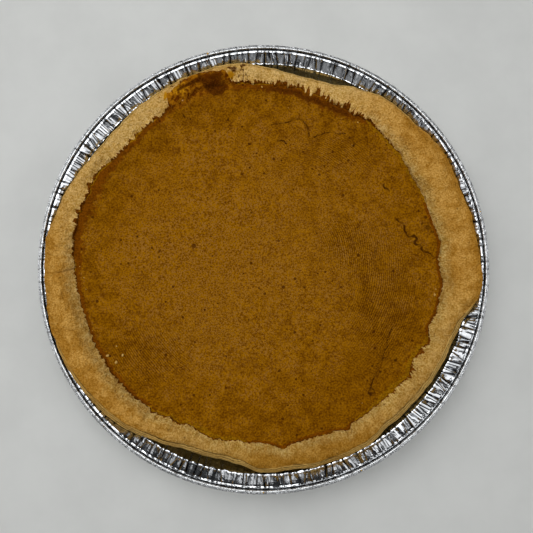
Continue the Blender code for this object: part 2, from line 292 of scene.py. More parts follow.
def round_faces(columns, rows, base=0):
    """Faces of a closed round grid. Its vertices run up each column, then its two poles follow."""
    faces = []
    low, high = base + columns * rows, base + columns * rows + 1
    for column in range(columns):
        here, there = base + column * rows, base + ((column + 1) % columns) * rows
        faces.append((low, there, here))
        for row in range(rows - 1):
            faces.append((here + row, there + row, there + row + 1, here + row + 1))
        faces.append((high, here + rows - 1, there + rows - 1))
    return faces


def finish_piece(obj, material, node=None):
    """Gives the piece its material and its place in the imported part."""
    if material is not None:
        obj.data.materials.clear()
        obj.data.materials.append(material)
    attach(obj, "root")
    if node:
        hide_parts(node)


# ---------------------------------------------------------------------------------------------------
# Node trees


def wire(tree, kind, inputs=None, **settings):
    """Adds a node. Inputs are given by name or number, as a value or as the socket that feeds them."""
    node = tree.nodes.new(kind)
    node.location = (190 * (len(tree.nodes) % 12), -170 * (len(tree.nodes) // 12))
    for name, value in settings.items():
        setattr(node, name, value)
    for key, value in (inputs or {}).items():
        socket = node.inputs[key]
        if isinstance(value, bpy.types.NodeSocket):
            tree.links.new(value, socket)
        else:
            socket.default_value = value
    return node


def math_node(tree, operation, a, b=0.0, c=0.0, clamp=False):
    inputs = {0: a, 1: b} if operation not in ("MULTIPLY_ADD", "COMPARE") else {0: a, 1: b, 2: c}
    return wire(tree, "ShaderNodeMath", inputs, operation=operation, use_clamp=clamp).outputs[0]


def vector_math(tree, operation, a, b=(0.0, 0.0, 0.0)):
    return wire(tree, "ShaderNodeVectorMath", {0: a, 1: b}, operation=operation).outputs[0]


def mix_colours(tree, share, a, b, blend="MIX"):
    node = wire(tree, "ShaderNodeMix", data_type="RGBA", blend_type=blend)
    for socket, value in zip((node.inputs[0], node.inputs[6], node.inputs[7]), (share, a, b)):
        if isinstance(value, bpy.types.NodeSocket):
            tree.links.new(value, socket)
        else:
            socket.default_value = value
    return node.outputs[2]


def map_range(tree, value, low, high, to_low=0.0, to_high=1.0, soft=True):
    kind = "SMOOTHSTEP" if soft else "LINEAR"
    inputs = {0: value, 1: low, 2: high, 3: to_low, 4: to_high}
    return wire(tree, "ShaderNodeMapRange", inputs, interpolation_type=kind).outputs[0]


def shader_noise(tree, vector, size, detail=2.0, roughness=0.55, distortion=0.0):
    """Noise with bumps about size metres across, from 0 to 1."""
    inputs = {"Vector": vector, "Scale": 1.0 / size, "Detail": detail, "Roughness": roughness}
    node = wire(tree, "ShaderNodeTexNoise", inputs)
    node.inputs["Distortion"].default_value = distortion
    return node.outputs[0]


def attribute(tree, name, output="Fac"):
    return wire(tree, "ShaderNodeAttribute", attribute_name=name).outputs[output]


def new_group(name, inputs, outputs):
    """A shader node group with its sockets, ready to be filled."""
    group = bpy.data.node_groups.new(name, "ShaderNodeTree")
    for socket_name, kind, default in inputs:
        socket = group.interface.new_socket(socket_name, in_out="INPUT", socket_type=kind)
        if default is not None:
            socket.default_value = default
    for socket_name, kind in outputs:
        group.interface.new_socket(socket_name, in_out="OUTPUT", socket_type=kind)
    return group, wire(group, "NodeGroupInput"), wire(group, "NodeGroupOutput")


def baked_grain():
    """The fine uneven grain that oven heat gives: used on pastry, custard and crumbs."""
    found = bpy.data.node_groups.get("baked_grain")
    if found:
        return found
    sockets = (
        ("Vector", "NodeSocketVector", None),
        ("Size", "NodeSocketFloat", 0.001),
        ("Unevenness", "NodeSocketFloat", 0.5),
    )
    group, inputs, outputs = new_group(
        "baked_grain", sockets, (("Tone", "NodeSocketFloat"), ("Height", "NodeSocketFloat"))
    )
    place = inputs.outputs["Vector"]
    scale = math_node(group, "DIVIDE", 1.0, inputs.outputs["Size"])
    fine = wire(group, "ShaderNodeTexNoise", {"Vector": place, "Scale": scale, "Detail": 2.0})
    coarse_scale = math_node(group, "MULTIPLY", scale, 0.22)
    coarse = wire(group, "ShaderNodeTexNoise", {"Vector": place, "Scale": coarse_scale, "Detail": 3.0})
    share = inputs.outputs["Unevenness"]
    blended = wire(group, "ShaderNodeMix", {0: share, 2: fine.outputs[0], 3: coarse.outputs[0]})
    tone = map_range(group, blended.outputs[0], 0.39, 0.61, soft=False)
    group.links.new(tone, outputs.inputs["Tone"])
    group.links.new(fine.outputs[0], outputs.inputs["Height"])
    return group


def specks():
    """Small scattered spots, such as spice and pores. Mask is 1 in a spot."""
    found = bpy.data.node_groups.get("specks")
    if found:
        return found
    sockets = (
        ("Vector", "NodeSocketVector", None),
        ("Spacing", "NodeSocketFloat", 0.003),
        ("Radius", "NodeSocketFloat", 0.12),
        ("Share", "NodeSocketFloat", 0.3),
    )
    group, inputs, outputs = new_group("specks", sockets, (("Mask", "NodeSocketFloat"),))
    scale = math_node(group, "DIVIDE", 1.0, inputs.outputs["Spacing"])
    cells = wire(group, "ShaderNodeTexVoronoi", {"Vector": inputs.outputs["Vector"], "Scale": scale})
    pick = wire(group, "ShaderNodeSeparateColor", {0: cells.outputs["Color"]})
    grown = math_node(group, "MULTIPLY", inputs.outputs["Radius"], 1.0)
    size = math_node(group, "MULTIPLY", pick.outputs[1], grown)
    edge = math_node(group, "SUBTRACT", size, cells.outputs["Distance"])
    spot = map_range(group, edge, 0.0, 0.05)
    chosen = math_node(group, "LESS_THAN", pick.outputs[0], inputs.outputs["Share"])
    mask = math_node(group, "MULTIPLY", spot, chosen)
    group.links.new(mask, outputs.inputs["Mask"])
    return group


def use_group(tree, group, inputs):
    node = wire(tree, "ShaderNodeGroup")
    node.node_tree = group
    for key, value in inputs.items():
        if isinstance(value, bpy.types.NodeSocket):
            tree.links.new(value, node.inputs[key])
        else:
            node.inputs[key].default_value = value
    return node


def new_material(name, colour, roughness, metallic=0.0, specular=0.5, tint=(1.0, 1.0, 1.0)):
    """A material with its shader, and the object's own coordinates."""
    material = bpy.data.materials.new(name)
    material.use_nodes = True
    material.diffuse_color = (*colour[:3], 1.0)
    tree = material.node_tree
    shader = tree.nodes["Principled BSDF"]
    shader.inputs["Base Color"].default_value = (*colour[:3], 1.0)
    shader.inputs["Roughness"].default_value = roughness
    shader.inputs["Metallic"].default_value = metallic
    shader.inputs["Specular IOR Level"].default_value = specular
    shader.inputs["Specular Tint"].default_value = (*tint, 1.0)
    place = wire(tree, "ShaderNodeTexCoord").outputs["Object"]
    return material, tree, shader, place


def bump(tree, shader, height, distance, strength=1.0):
    inputs = {"Height": height, "Distance": distance, "Strength": strength}
    node = wire(tree, "ShaderNodeBump", inputs)
    tree.links.new(node.outputs[0], shader.inputs["Normal"])


# ---------------------------------------------------------------------------------------------------
# Foil tin


def foil_material(colours):
    """Bright soft aluminium with fine wrinkles, a slightly uneven shine, and painted shade in its folds, in the groove
    by its rolled rim and on the roll's outer side.
    """
    material, tree, shader, place = new_material("foil", colours.foil, 0.16, metallic=1.0)
    wrinkles = shader_noise(tree, place, 0.0022, 2.0, 0.5, 0.6)
    dents = shader_noise(tree, place, 0.006, 1.0)
    tone = map_range(tree, dents, 0.3, 0.7)
    dull = mix_colours(tree, tone, (*colours.foil[:3], 1.0), (*[c * 0.86 for c in colours.foil[:3]], 1.0))
    # Painted shade: the foil is painted nearly black in its folds, in the groove beside the rolled rim and on the
    # roll's outer side.
    grime = math_node(tree, "MULTIPLY", attribute(tree, "grime"), 0.96)
    colour = mix_colours(tree, grime, dull, (0.022, 0.021, 0.019, 1.0))
    apart = wire(tree, "ShaderNodeSeparateXYZ", {0: place})
    squares = [math_node(tree, "MULTIPLY", apart.outputs[axis], apart.outputs[axis]) for axis in (0, 1)]
    away = math_node(tree, "SQRT", math_node(tree, "ADD", *squares))
    rolled = map_range(tree, away, 0.1186, 0.1194)
    worn = mix_colours(tree, 1.0, colour, (0.78, 0.78, 0.77, 1.0), "MULTIPLY")
    tree.links.new(mix_colours(tree, rolled, colour, worn), shader.inputs["Base Color"])
    rough = map_range(tree, wrinkles, 0.3, 0.75, 0.1, 0.18)
    tree.links.new(math_node(tree, "MULTIPLY_ADD", rolled, 0.14, rough), shader.inputs["Roughness"])
    ticks = shader_noise(tree, place, 0.0011, 2.0, 0.6)
    height = math_node(tree, "MULTIPLY_ADD", wrinkles, 0.5, dents)
    height = math_node(tree, "MULTIPLY_ADD", math_node(tree, "MULTIPLY", ticks, rolled), 6.0, height)
    bump(tree, shader, height, 0.00012, 0.5)
    return material


def tin_profile(sizes):
    """The foil's section from the middle of its inside, out round the rolled rim, to its underside.

    Each point is (radius, height, share of the fold depth, climb from foot to rim, share of the scallop).
    """
    foil = sizes.foil_thickness / MM
    foot, shoulder = sizes.base_radius / MM, sizes.shoulder_radius / MM
    rim, top = sizes.rim_radius / MM, sizes.rim_height / MM
    roll = sizes.roll_radius / MM
    wall_top = sizes.shoulder_height / MM
    inside = [(0, foil, 0, 0, 0), (60, foil, 0, 0, 0), (foot - 2, foil, 0, 0, 0)]
    inside += [(foot - 0.3, foil + 0.25, 0.05, 0, 0), (foot + 0.9, foil + 1.4, 0.15, 0.02, 0)]
    for step in (0.5, 0.74, 0.88):
        radius = foot + 0.9 + step * (shoulder - 1.3 - foot - 0.9)
        inside.append((radius, 1.5 + step * (wall_top - 2.3), 0.3 + 0.4 * step, 0.55 * step, step * 0.6))
    inside += [
        (shoulder - 0.58, wall_top - 0.6, 0.72, 0.56, 0.9),
        (shoulder - 0.4, wall_top - 0.16, 0.76, 0.57, 1.0),
        (shoulder - 0.05, wall_top - 0.02, 0.8, 0.58, 1.0),
        (shoulder + 0.3, wall_top + 0.18, 0.84, 0.6, 0.8),
    ]
    flange_end = rim - 2.0 * roll - 1.75
    for step, bulge in ((0.17, 0.0), (0.38, -0.04), (0.6, -0.07), (0.82, -0.05)):
        radius = shoulder + 0.3 + step * (flange_end - shoulder - 0.3)
        height = wall_top + 0.18 + step * 3.44 + bulge
        inside.append((radius, height, 0.9 - 0.12 * step, 0.6 + 0.4 * step, 0.8 - 0.8 * step))
    inside += [
        (flange_end, wall_top + 3.66, 0.7, 1.2, 0),
        (flange_end + 0.4, wall_top + 3.68, 0.5, 2.4, 0),
        (flange_end + 0.8, wall_top + 3.68, 0.45, 2.8, 0),
        (flange_end + 1.15, wall_top + 3.5, 0.35, 2.6, 0),
        (flange_end + 1.35, wall_top + 3.0, 0.25, 2.0, 0),
        (flange_end + 1.55, wall_top + 2.4, 0.15, 2.0, 0),
    ]
    middle = (rim - roll, top - roll)
    rolled = []
    for degrees, shrink, share in ROLL:
        turn, reach = math.radians(degrees), roll * (1.0 - shrink)
        rolled.append((middle[0] + reach * math.cos(turn), middle[1] + reach * math.sin(turn), share * 1.6, 4, 0))
    outside = []
    for index, (radius, height, *shares) in enumerate(inside):
        r0, z0 = inside[max(index - 1, 0)][:2]
        r1, z1 = inside[min(index + 1, len(inside) - 1)][:2]
        length = math.hypot(r1 - r0, z1 - z0)
        across = (foil * (z1 - z0) / length, -foil * (r1 - r0) / length)
        outside.append((max(radius + across[0], 0.0), height + across[1], *shares))
    outside[0] = (0, 0, 0, 0, 0)
    return inside + rolled, list(reversed(outside))


def profile_object(upper, under):
    """A line of points that the tin's node tree reads row by row."""
    points = upper + under
    edges = [(index, index + 1) for index in range(len(points) - 1)]
    mesh = bpy.data.meshes.new("tin_profile")
    mesh.from_pydata([(p[0] * MM, 0.0, p[1] * MM) for p in points], edges, [])
    across = []
    for index in range(len(points)):
        r0, z0 = points[max(index - 1, 0)][:2]
        r1, z1 = points[min(index + 1, len(points) - 1)][:2]
        length = math.hypot(r1 - r0, z1 - z0)
        side = 1.0 if index < len(upper) else -1.0
        across.append((-side * (z1 - z0) / length, 0.0, side * (r1 - r0) / length))
    rolled = len(upper) - len(ROLL)
    # Painted shade for each row of the section: in the groove where the flat rim meets the roll, on parts of the roll
    # and on its outer side.
    grime = [0.0] * len(points)
    for index, amount in (
        (-4, 0.1), (-3, 0.3), (-2, 0.8), (-1, 0.9), (0, 0.9), (1, 0.7), (2, 0.2), (5, 0.5), (6, 0.5), (9, 0.4),
        (10, 0.9), (11, 1.0), (12, 1.0), (13, 1.0),
    ):
        grime[rolled + index] = amount
    for name, kind, values in (
        ("share", "FLOAT", [p[2] for p in points]),
        ("climb", "FLOAT", [p[3] for p in points]),
        ("scallop", "FLOAT", [p[4] for p in points]),
        ("grime", "FLOAT", grime),
        ("across", "FLOAT_VECTOR", across),
    ):
        column = mesh.attributes.new(name, kind, "POINT")
        field = "value" if kind == "FLOAT" else "vector"
        column.data.foreach_set(field, np.array(values, np.float32).ravel())
    obj = bpy.data.objects.new("tin_profile", mesh)
    bpy.context.scene.collection.objects.link(obj)
    return obj


def crease_tree(rows):
    """Geometry nodes: turns the profile round the axis in uneven bowed panels parted by narrow folds.

    Each panel has six columns: the end of the panel before it, the bottom of the fold, its own start,
    and three between.
    """
    tree = bpy.data.node_groups.new("creased_foil", "GeometryNodeTree")
    face = tree.interface
    for name, kind, default in (
        ("Profile", "NodeSocketObject", None),
        ("Panels", "NodeSocketInt", 336),
        ("Fold Depth", "NodeSocketFloat", 0.0006),
        ("Fold Width", "NodeSocketFloat", 0.12),
        ("Bow", "NodeSocketFloat", 0.0002),
        ("Slant", "NodeSocketFloat", 0.44),
        ("Scallop", "NodeSocketFloat", 0.0006),
        ("Facets", "NodeSocketFloat", 0.0001),
        ("Crinkle", "NodeSocketFloat", 0.0002),
        ("Seed", "NodeSocketInt", 7),
        ("Material", "NodeSocketMaterial", None),
    ):
        socket = face.new_socket(name, in_out="INPUT", socket_type=kind)
        if default is not None:
            socket.default_value = default
    face.new_socket("Geometry", in_out="OUTPUT", socket_type="NodeSocketGeometry")
    given = wire(tree, "NodeGroupInput").outputs

    def calc(operation, a, b=0.0, c=0.0, clamp=False):
        return math_node(tree, operation, a, b, c, clamp)

    columns = calc("MULTIPLY_ADD", given["Panels"], 6.0, 1.0)
    grid = wire(tree, "GeometryNodeMeshGrid", {"Vertices X": columns, "Vertices Y": rows})
    profile = wire(tree, "GeometryNodeObjectInfo", {"Object": given["Profile"]}).outputs["Geometry"]
    index = wire(tree, "GeometryNodeInputIndex").outputs[0]
    column = calc("FLOOR", calc("DIVIDE", calc("ADD", index, 0.5), float(rows)))
    row = calc("SUBTRACT", index, calc("MULTIPLY", column, float(rows)))
    panel = calc("FLOOR", calc("DIVIDE", calc("ADD", column, 0.5), 6.0))
    part = calc("SUBTRACT", column, calc("MULTIPLY", panel, 6.0))
    side = calc("MULTIPLY_ADD", calc("MINIMUM", part, 2.0), 0.5, -0.5)
    across_panel = calc("MULTIPLY", calc("MAXIMUM", calc("SUBTRACT", part, 2.0), 0.0), 0.25)
    at_bottom = calc("COMPARE", part, 1.0, 0.1)
    here = calc("FLOORED_MODULO", panel, given["Panels"])
    there = calc("FLOORED_MODULO", calc("ADD", panel, 1.0), given["Panels"])

    def read(name, kind):
        value = wire(tree, "GeometryNodeInputNamedAttribute", {"Name": name}, data_type=kind).outputs[0]
        inputs = {"Geometry": profile, "Value": value, "Index": row}
        return wire(tree, "GeometryNodeSampleIndex", inputs, data_type=kind).outputs[0]

    def chance(identity, low, high, extra):
        seed = calc("ADD", given["Seed"], float(extra))
        inputs = {"ID": identity, "Seed": seed, 2: low, 3: high}
        return wire(tree, "FunctionNodeRandomValue", inputs, data_type="FLOAT").outputs[1]

    def blend(share, a, b):
        return wire(tree, "ShaderNodeMix", {0: share, 2: a, 3: b}).outputs[0]

    share, climb, scallop = read("share", "FLOAT"), read("climb", "FLOAT"), read("scallop", "FLOAT")
    across = read("across", "FLOAT_VECTOR")
    inputs = {"Geometry": profile, "Value": wire(tree, "GeometryNodeInputPosition").outputs[0], "Index": row}
    spot = wire(tree, "GeometryNodeSampleIndex", inputs, data_type="FLOAT_VECTOR").outputs[0]
    spot = wire(tree, "ShaderNodeSeparateXYZ", {0: spot})
    upper = calc("MULTIPLY", calc("SUBTRACT", climb, 0.58), 2.4, clamp=True)

    def fold_turn(identity, number):
        slip = blend(upper, chance(identity, -1.0, 1.0, 1), chance(identity, -1.0, 1.0, 2))
        return calc("MULTIPLY_ADD", slip, given["Slant"], number)

    def fold_step(identity):
        low, high = chance(identity, -0.5, 0.7, 3), chance(identity, -0.5, 0.7, 4)
        return blend(upper, low, high)

    def fold_level(identity):
        return blend(upper, chance(identity, -0.35, 0.35, 5), chance(identity, -0.3, 0.3, 6))

    def fold_width(identity):
        spread = blend(upper, chance(identity, 0.4, 1.6, 11), chance(identity, 0.5, 1.5, 12))
        return calc("MULTIPLY", spread, given["Fold Width"])

    start = calc("MULTIPLY_ADD", side, fold_width(here), fold_turn(here, panel))
    end = calc("MULTIPLY_ADD", fold_width(there), -0.5, fold_turn(there, calc("ADD", panel, 1.0)))
    breadth = calc("SUBTRACT", end, start)
    turn = calc("MULTIPLY_ADD", across_panel, breadth, start)
    turn = calc("MULTIPLY", calc("DIVIDE", turn, given["Panels"]), math.tau)

    start_lift = calc("MULTIPLY_ADD", side, fold_step(here), fold_level(here))
    deep = calc("GREATER_THAN", chance(here, 0.0, 1.0, 19), 0.5)
    sunk = blend(upper, chance(here, 0.35, 1.0, 13), chance(here, 0.25, 1.0, 14))
    sunk = blend(deep, calc("MULTIPLY", sunk, -0.3), sunk)
    start_lift = calc("SUBTRACT", start_lift, calc("MULTIPLY", at_bottom, sunk))
    end_lift = calc("MULTIPLY_ADD", fold_step(there), -0.5, fold_level(there))
    lift = calc("MULTIPLY", blend(across_panel, start_lift, end_lift), given["Fold Depth"])
    arch = calc("MULTIPLY", calc("MULTIPLY", across_panel, calc("SUBTRACT", 1.0, across_panel)), 4.0)
    arch = calc("MULTIPLY", arch, breadth)
    bow = blend(upper, chance(here, -1.0, 0.7, 7), chance(here, -1.0, 0.7, 8))
    lift = calc("ADD", lift, calc("MULTIPLY", calc("MULTIPLY", arch, bow), given["Bow"]))
    facet = blend(upper, chance(column, -1.0, 1.0, 15), chance(column, -1.0, 1.0, 16))
    facet = calc("MULTIPLY", facet, calc("GREATER_THAN", across_panel, 0.1))
    lift = calc("MULTIPLY_ADD", facet, given["Facets"], lift)
    lift = calc("MULTIPLY", lift, share)

    push = wire(tree, "ShaderNodeVectorMath", {0: across, "Scale": lift}, operation="SCALE")
    push = wire(tree, "ShaderNodeSeparateXYZ", {0: push.outputs[0]})
    uneven = calc("MULTIPLY", chance(here, 0.0, 1.6, 9), chance(here, 0.2, 1.0, 10))
    inward = calc("MULTIPLY", calc("MULTIPLY", calc("MULTIPLY", arch, uneven), scallop), given["Scallop"])
    radius = calc("SUBTRACT", calc("ADD", spot.outputs[0], push.outputs[0]), inward)
    height = calc("ADD", spot.outputs[2], push.outputs[2])
    cosine, sine = calc("COSINE", turn), calc("SINE", turn)

    def at(distance, level):
        x, y = calc("MULTIPLY", distance, cosine), calc("MULTIPLY", distance, sine)
        return wire(tree, "ShaderNodeCombineXYZ", {0: x, 1: y, 2: level}).outputs[0]

    position = at(radius, height)
    rough = wire(tree, "ShaderNodeTexNoise", {"Vector": position, "Scale": 420.0, "Detail": 1.0}).outputs[0]
    rough = calc("MULTIPLY", calc("SUBTRACT", rough, 0.5), given["Crinkle"])
    rough = calc("MULTIPLY", rough, calc("MULTIPLY", climb, 2.0))
    apart = wire(tree, "ShaderNodeSeparateXYZ", {0: across})
    outward = at(apart.outputs[0], apart.outputs[2])
    offset = wire(tree, "ShaderNodeVectorMath", {0: outward, "Scale": rough}, operation="SCALE").outputs[0]
    moved = wire(tree, "GeometryNodeSetPosition", {"Geometry": grid.outputs[0], "Position": position, "Offset": offset})
    angle = wire(tree, "GeometryNodeInputMeshEdgeAngle").outputs[0]
    gentle = calc("LESS_THAN", angle, 0.42)
    on_flange = calc("MULTIPLY", calc("SUBTRACT", climb, 0.5), 12.0, clamp=True)
    # Painted shade in the folds: the bottoms and sides of folds on the flange are painted darker, deep folds most.
    beside = calc("MULTIPLY", calc("LESS_THAN", part, 2.5), 0.3)
    fold_shade = calc("MULTIPLY", calc("MAXIMUM", at_bottom, beside), calc("MAXIMUM", deep, 0.75))
    fold_shade = calc("MULTIPLY", fold_shade, blend(upper, chance(here, 0.5, 1.3, 17), chance(here, 0.3, 1.3, 18)))
    on_fold = calc("MULTIPLY", calc("MULTIPLY", fold_shade, calc("MULTIPLY", share, 1.3, clamp=True)), on_flange)
    grime = calc("MAXIMUM", read("grime", "FLOAT"), on_fold)
    marked = wire(
        tree, "GeometryNodeStoreNamedAttribute",
        {"Geometry": moved.outputs[0], "Name": "grime", "Value": grime}, data_type="FLOAT", domain="POINT",
    )
    merged = wire(tree, "GeometryNodeMergeByDistance", {"Geometry": marked.outputs[0], "Distance": 1e-6})
    inputs = {"Geometry": merged.outputs[0], "Shade Smooth": gentle}
    smooth = wire(tree, "GeometryNodeSetShadeSmooth", inputs, domain="EDGE")
    real = wire(tree, "GeometryNodeRealizeInstances", {0: smooth.outputs[0]})
    dressed = wire(tree, "GeometryNodeSetMaterial", {0: real.outputs[0], "Material": given["Material"]})
    wire(tree, "NodeGroupOutput", {0: dressed.outputs[0]})
    return tree


def set_inputs(modifier, values):
    """Sets a node modifier's inputs by their names, through their identifiers."""
    for item in modifier.node_group.interface.items_tree:
        if item.item_type == "SOCKET" and item.in_out == "INPUT" and item.name in values:
            modifier[item.identifier] = values[item.name]


def baked_from_nodes(name, tree, values):
    """Runs a node tree once and keeps its result as a plain mesh."""
    carrier = bpy.data.objects.new(name + "_carrier", bpy.data.meshes.new(name + "_carrier"))
    bpy.context.scene.collection.objects.link(carrier)
    modifier = carrier.modifiers.new("nodes", "NODES")
    modifier.node_group = tree
    set_inputs(modifier, values)
    graph = bpy.context.evaluated_depsgraph_get()
    mesh = bpy.data.meshes.new_from_object(carrier.evaluated_get(graph))
    mesh.name = name
    carrier.modifiers.remove(modifier)
    bpy.data.objects.remove(carrier)
    if not mesh.polygons:
        raise RuntimeError(f"the node tree for {name} made no faces")
    obj = bpy.data.objects.new(name, mesh)
    bpy.context.scene.collection.objects.link(obj)
    return obj


def make_tin(sizes, colours):
    upper, under = tin_profile(sizes)
    profile = profile_object(upper, under)
    tin = baked_from_nodes(
        "creased_tin",
        crease_tree(len(upper) + len(under)),
        {
            "Profile": profile,
            "Panels": sizes.panels,
            "Fold Depth": sizes.fold_depth,
            "Fold Width": sizes.fold_width,
            "Bow": sizes.bow,
            "Slant": sizes.slant,
            "Scallop": sizes.scallop,
            "Facets": sizes.facets,
            "Crinkle": sizes.crinkle,
            "Seed": sizes.seed,
            "Material": foil_material(colours),
        },
    )
    bpy.data.objects.remove(profile)
    finish_piece(tin, None, "foil_tin")


# ---------------------------------------------------------------------------------------------------
# Pastry


def flange_height(radius, sizes):
    """The height of the tin's flange at a radius."""
    shoulder = sizes.shoulder_radius / MM
    return sizes.shoulder_height / MM + (radius - shoulder) * 0.62


def pastry_rise(outer):
    """The height of the pastry's crest: higher where it reaches out over the flange."""
    return 27.6 + 0.31 * (outer - 106.5)


def pastry_numbers(angles, sizes):
    """The pastry's main numbers at each angle."""
    spot = np.stack([np.cos(np.radians(angles)), np.sin(np.radians(angles)), np.zeros_like(angles)], -1)
    outer = around(PASTRY_EDGE, angles, 0.7) + 0.22 * noise(spot * 110, 4.0, 11, 2)
    shore = around(SHORELINE, angles, 0.7) + 0.3 * noise(spot * 98, 7.0, 12, 2)
    teeth = 0.9 - 1.6 * np.abs(noise(spot * 100, 4.2, 15)) + 1.2 * noise(spot * 100, 1.5, 16)
    teeth = teeth + 1.1 * noise(spot * 100, 8.0, 17)
    shore = shore - around(JAGGED, angles, 2.0) * (teeth - 0.2)
    cut = around(CUT_EDGE, angles, 1.5)
    crest = pastry_rise(outer) + 0.45 * noise(spot * 105, 26.0, 13) + 0.25 * noise(spot * 105, 9.0, 14)
    return outer, shore, cut, np.minimum(crest, 31.6)


ROWS_UNDER, ROWS_CUT, ROWS_TOP = 7, 15, 43


def pastry_columns(angles, sizes):
    """Radius and height of every row at every angle, and how far each row lies along the top."""
    outer, shore, cut, crest = pastry_numbers(angles, sizes)
    level = sizes.custard_level / MM
    flatness = ramp((cut - 0.8) / 1.2)
    lip_drop = 1.3 - 0.7 * flatness
    lip_radius, lip_height = outer - cut, crest - lip_drop
    low = np.maximum(flange_height(outer, sizes) + 0.7, crest - 4.2 + 0.8 * (1 - flatness))

    radii, heights = [], []

    def row(radius, height):
        radii.append(np.broadcast_to(radius, angles.shape))
        heights.append(np.broadcast_to(height, angles.shape))

    shoulder = sizes.shoulder_radius / MM
    wall_at = lambda height: 97.5 + (shoulder - 97.5) * (height - 1.5) / (sizes.shoulder_height / MM - 1.5)
    contact = np.minimum(wall_at(19.0) - 2.4, outer - 2.6)
    row(60.0, 0.75)
    row(94.5, 0.75)
    row(96.6, 3.4)
    row(contact, 18.5)
    neck = np.minimum(shoulder - 2.4, outer - 1.9)
    row(neck, np.maximum(low - 2.6, np.where(neck > wall_at(22.0) - 1.6, 24.4, 0.0)))
    near = np.minimum(np.maximum(neck + 0.3, outer - 1.4), outer - 0.7)
    row(near, np.maximum(low - 1.1, flange_height(near, sizes) + 0.35))
    row(outer - 0.25, low - 0.35)
    for share in np.linspace(0.0, 1.0, ROWS_CUT):
        quarter = share * math.pi / 2
        straight_radius = outer - cut * share
        straight_height = low + (lip_height - low) * share**0.85
        round_radius = outer - cut * (1 - math.cos(quarter)) ** 1.0
        round_height = low + (lip_height - low) * math.sin(quarter)
        row(
            round_radius + (straight_radius - round_radius) * flatness,
            round_height + (straight_height - round_height) * flatness,
        )

    peak = 0.3
    across = np.concatenate([np.linspace(0, peak, 60), peak + (1 - peak) * np.sin(np.linspace(0, math.pi / 2, 140))])
    top_radius = lip_radius[:, None] + (shore - lip_radius)[:, None] * across
    dome = crest[:, None] - lip_drop[:, None] * (np.clip((peak - across) / peak, 0, 1) ** 2)
    inner = np.clip((across - peak) / (1 - peak), 0, 1)
    bank = around(BANK, angles, 2.5)[:, None]
    flat = 1 - 0.45 * inner - 0.55 * np.clip((inner - 0.9) / 0.1, 0, 1)
    fall = bank * (1 - inner**2.2) ** (1 / 1.3) + (1 - bank) * flat
    top_height = np.where(across < peak, dome, level + (crest[:, None] - level) * fall)
    steps = np.hypot(np.diff(top_radius, axis=1), np.diff(top_height, axis=1))
    length = np.concatenate([np.zeros((len(angles), 1)), np.cumsum(steps, axis=1)], axis=1)
    wanted = np.linspace(0.0, 1.0, ROWS_TOP + 1)[1:]
    even_radius = np.stack([np.interp(wanted * l[-1], l, r) for l, r in zip(length, top_radius)])
    even_height = np.stack([np.interp(wanted * l[-1], l, h) for l, h in zip(length, top_height)])
    for step in range(ROWS_TOP):
        row(even_radius[:, step], even_height[:, step])
    row(shore - 0.25, level - 1.2)
    row(shore - 1.2, level - 5.0)
    row(np.minimum(shore - 3.0, 94.5), 7.0)
    row(88.0, 4.7)
    return np.stack(radii, 1), np.stack(heights, 1), length[:, -1]


def pastry_relief(points, angles, sizes, along, cut_share):
    """How far the surface stands out or in from its smooth form."""
    turn = np.broadcast_to(angles[:, None], points.shape[:2])
    lumps = 0.62 * noise(points, 15.0, 21) + 0.36 * noise(points, 6.5, 22) + 0.12 * noise(points, 2.8, 23)
    fine = 0.08 * noise(points, 1.3, 24)
    radians = np.radians(turn)
    strand = np.stack([102 * np.cos(radians), 102 * np.sin(radians), 0.3 * np.hypot(points[..., 0], points[..., 1])], -1)
    jagged = around(JAGGED, turn, 2.0) * ramp((along - 0.35) / 0.4)
    lumps = lumps + 0.35 * jagged * noise(strand, 1.7, 25)
    relief = (lumps + fine) * (1.0 - 0.7 * cut_share) * (1.0 - 0.55 * ramp((along - 0.72) / 0.2))
    for inner_turn, outer_turn, depth, width in GROOVES:
        middle = outer_turn + (inner_turn - outer_turn) * along
        shape = np.exp(-((turn_between(turn, middle) / width) ** 2))
        relief -= depth * shape * ramp((along - 0.12) / 0.3) * (1.0 - 0.5 * cut_share)
    return relief


def layer_lines(points, share):
    """The flaky layers across the cut edge: how far each sheet stands out, and its place in the sheet."""
    wander = 0.4 * noise(points, 24.0, 31) + 0.25 * noise(points, 6.0, 32)
    phase = np.clip(share * 2.7 + wander + 0.2, 0.0, 3.2)
    sheet = phase % 1.0
    strength = np.clip(0.95 + 0.5 * noise(points, 8.0, 33), 0.4, 1.3)
    return (np.clip(sheet / 0.25, 0, 1) - 0.35 * sheet - 0.5) * strength, phase, strength


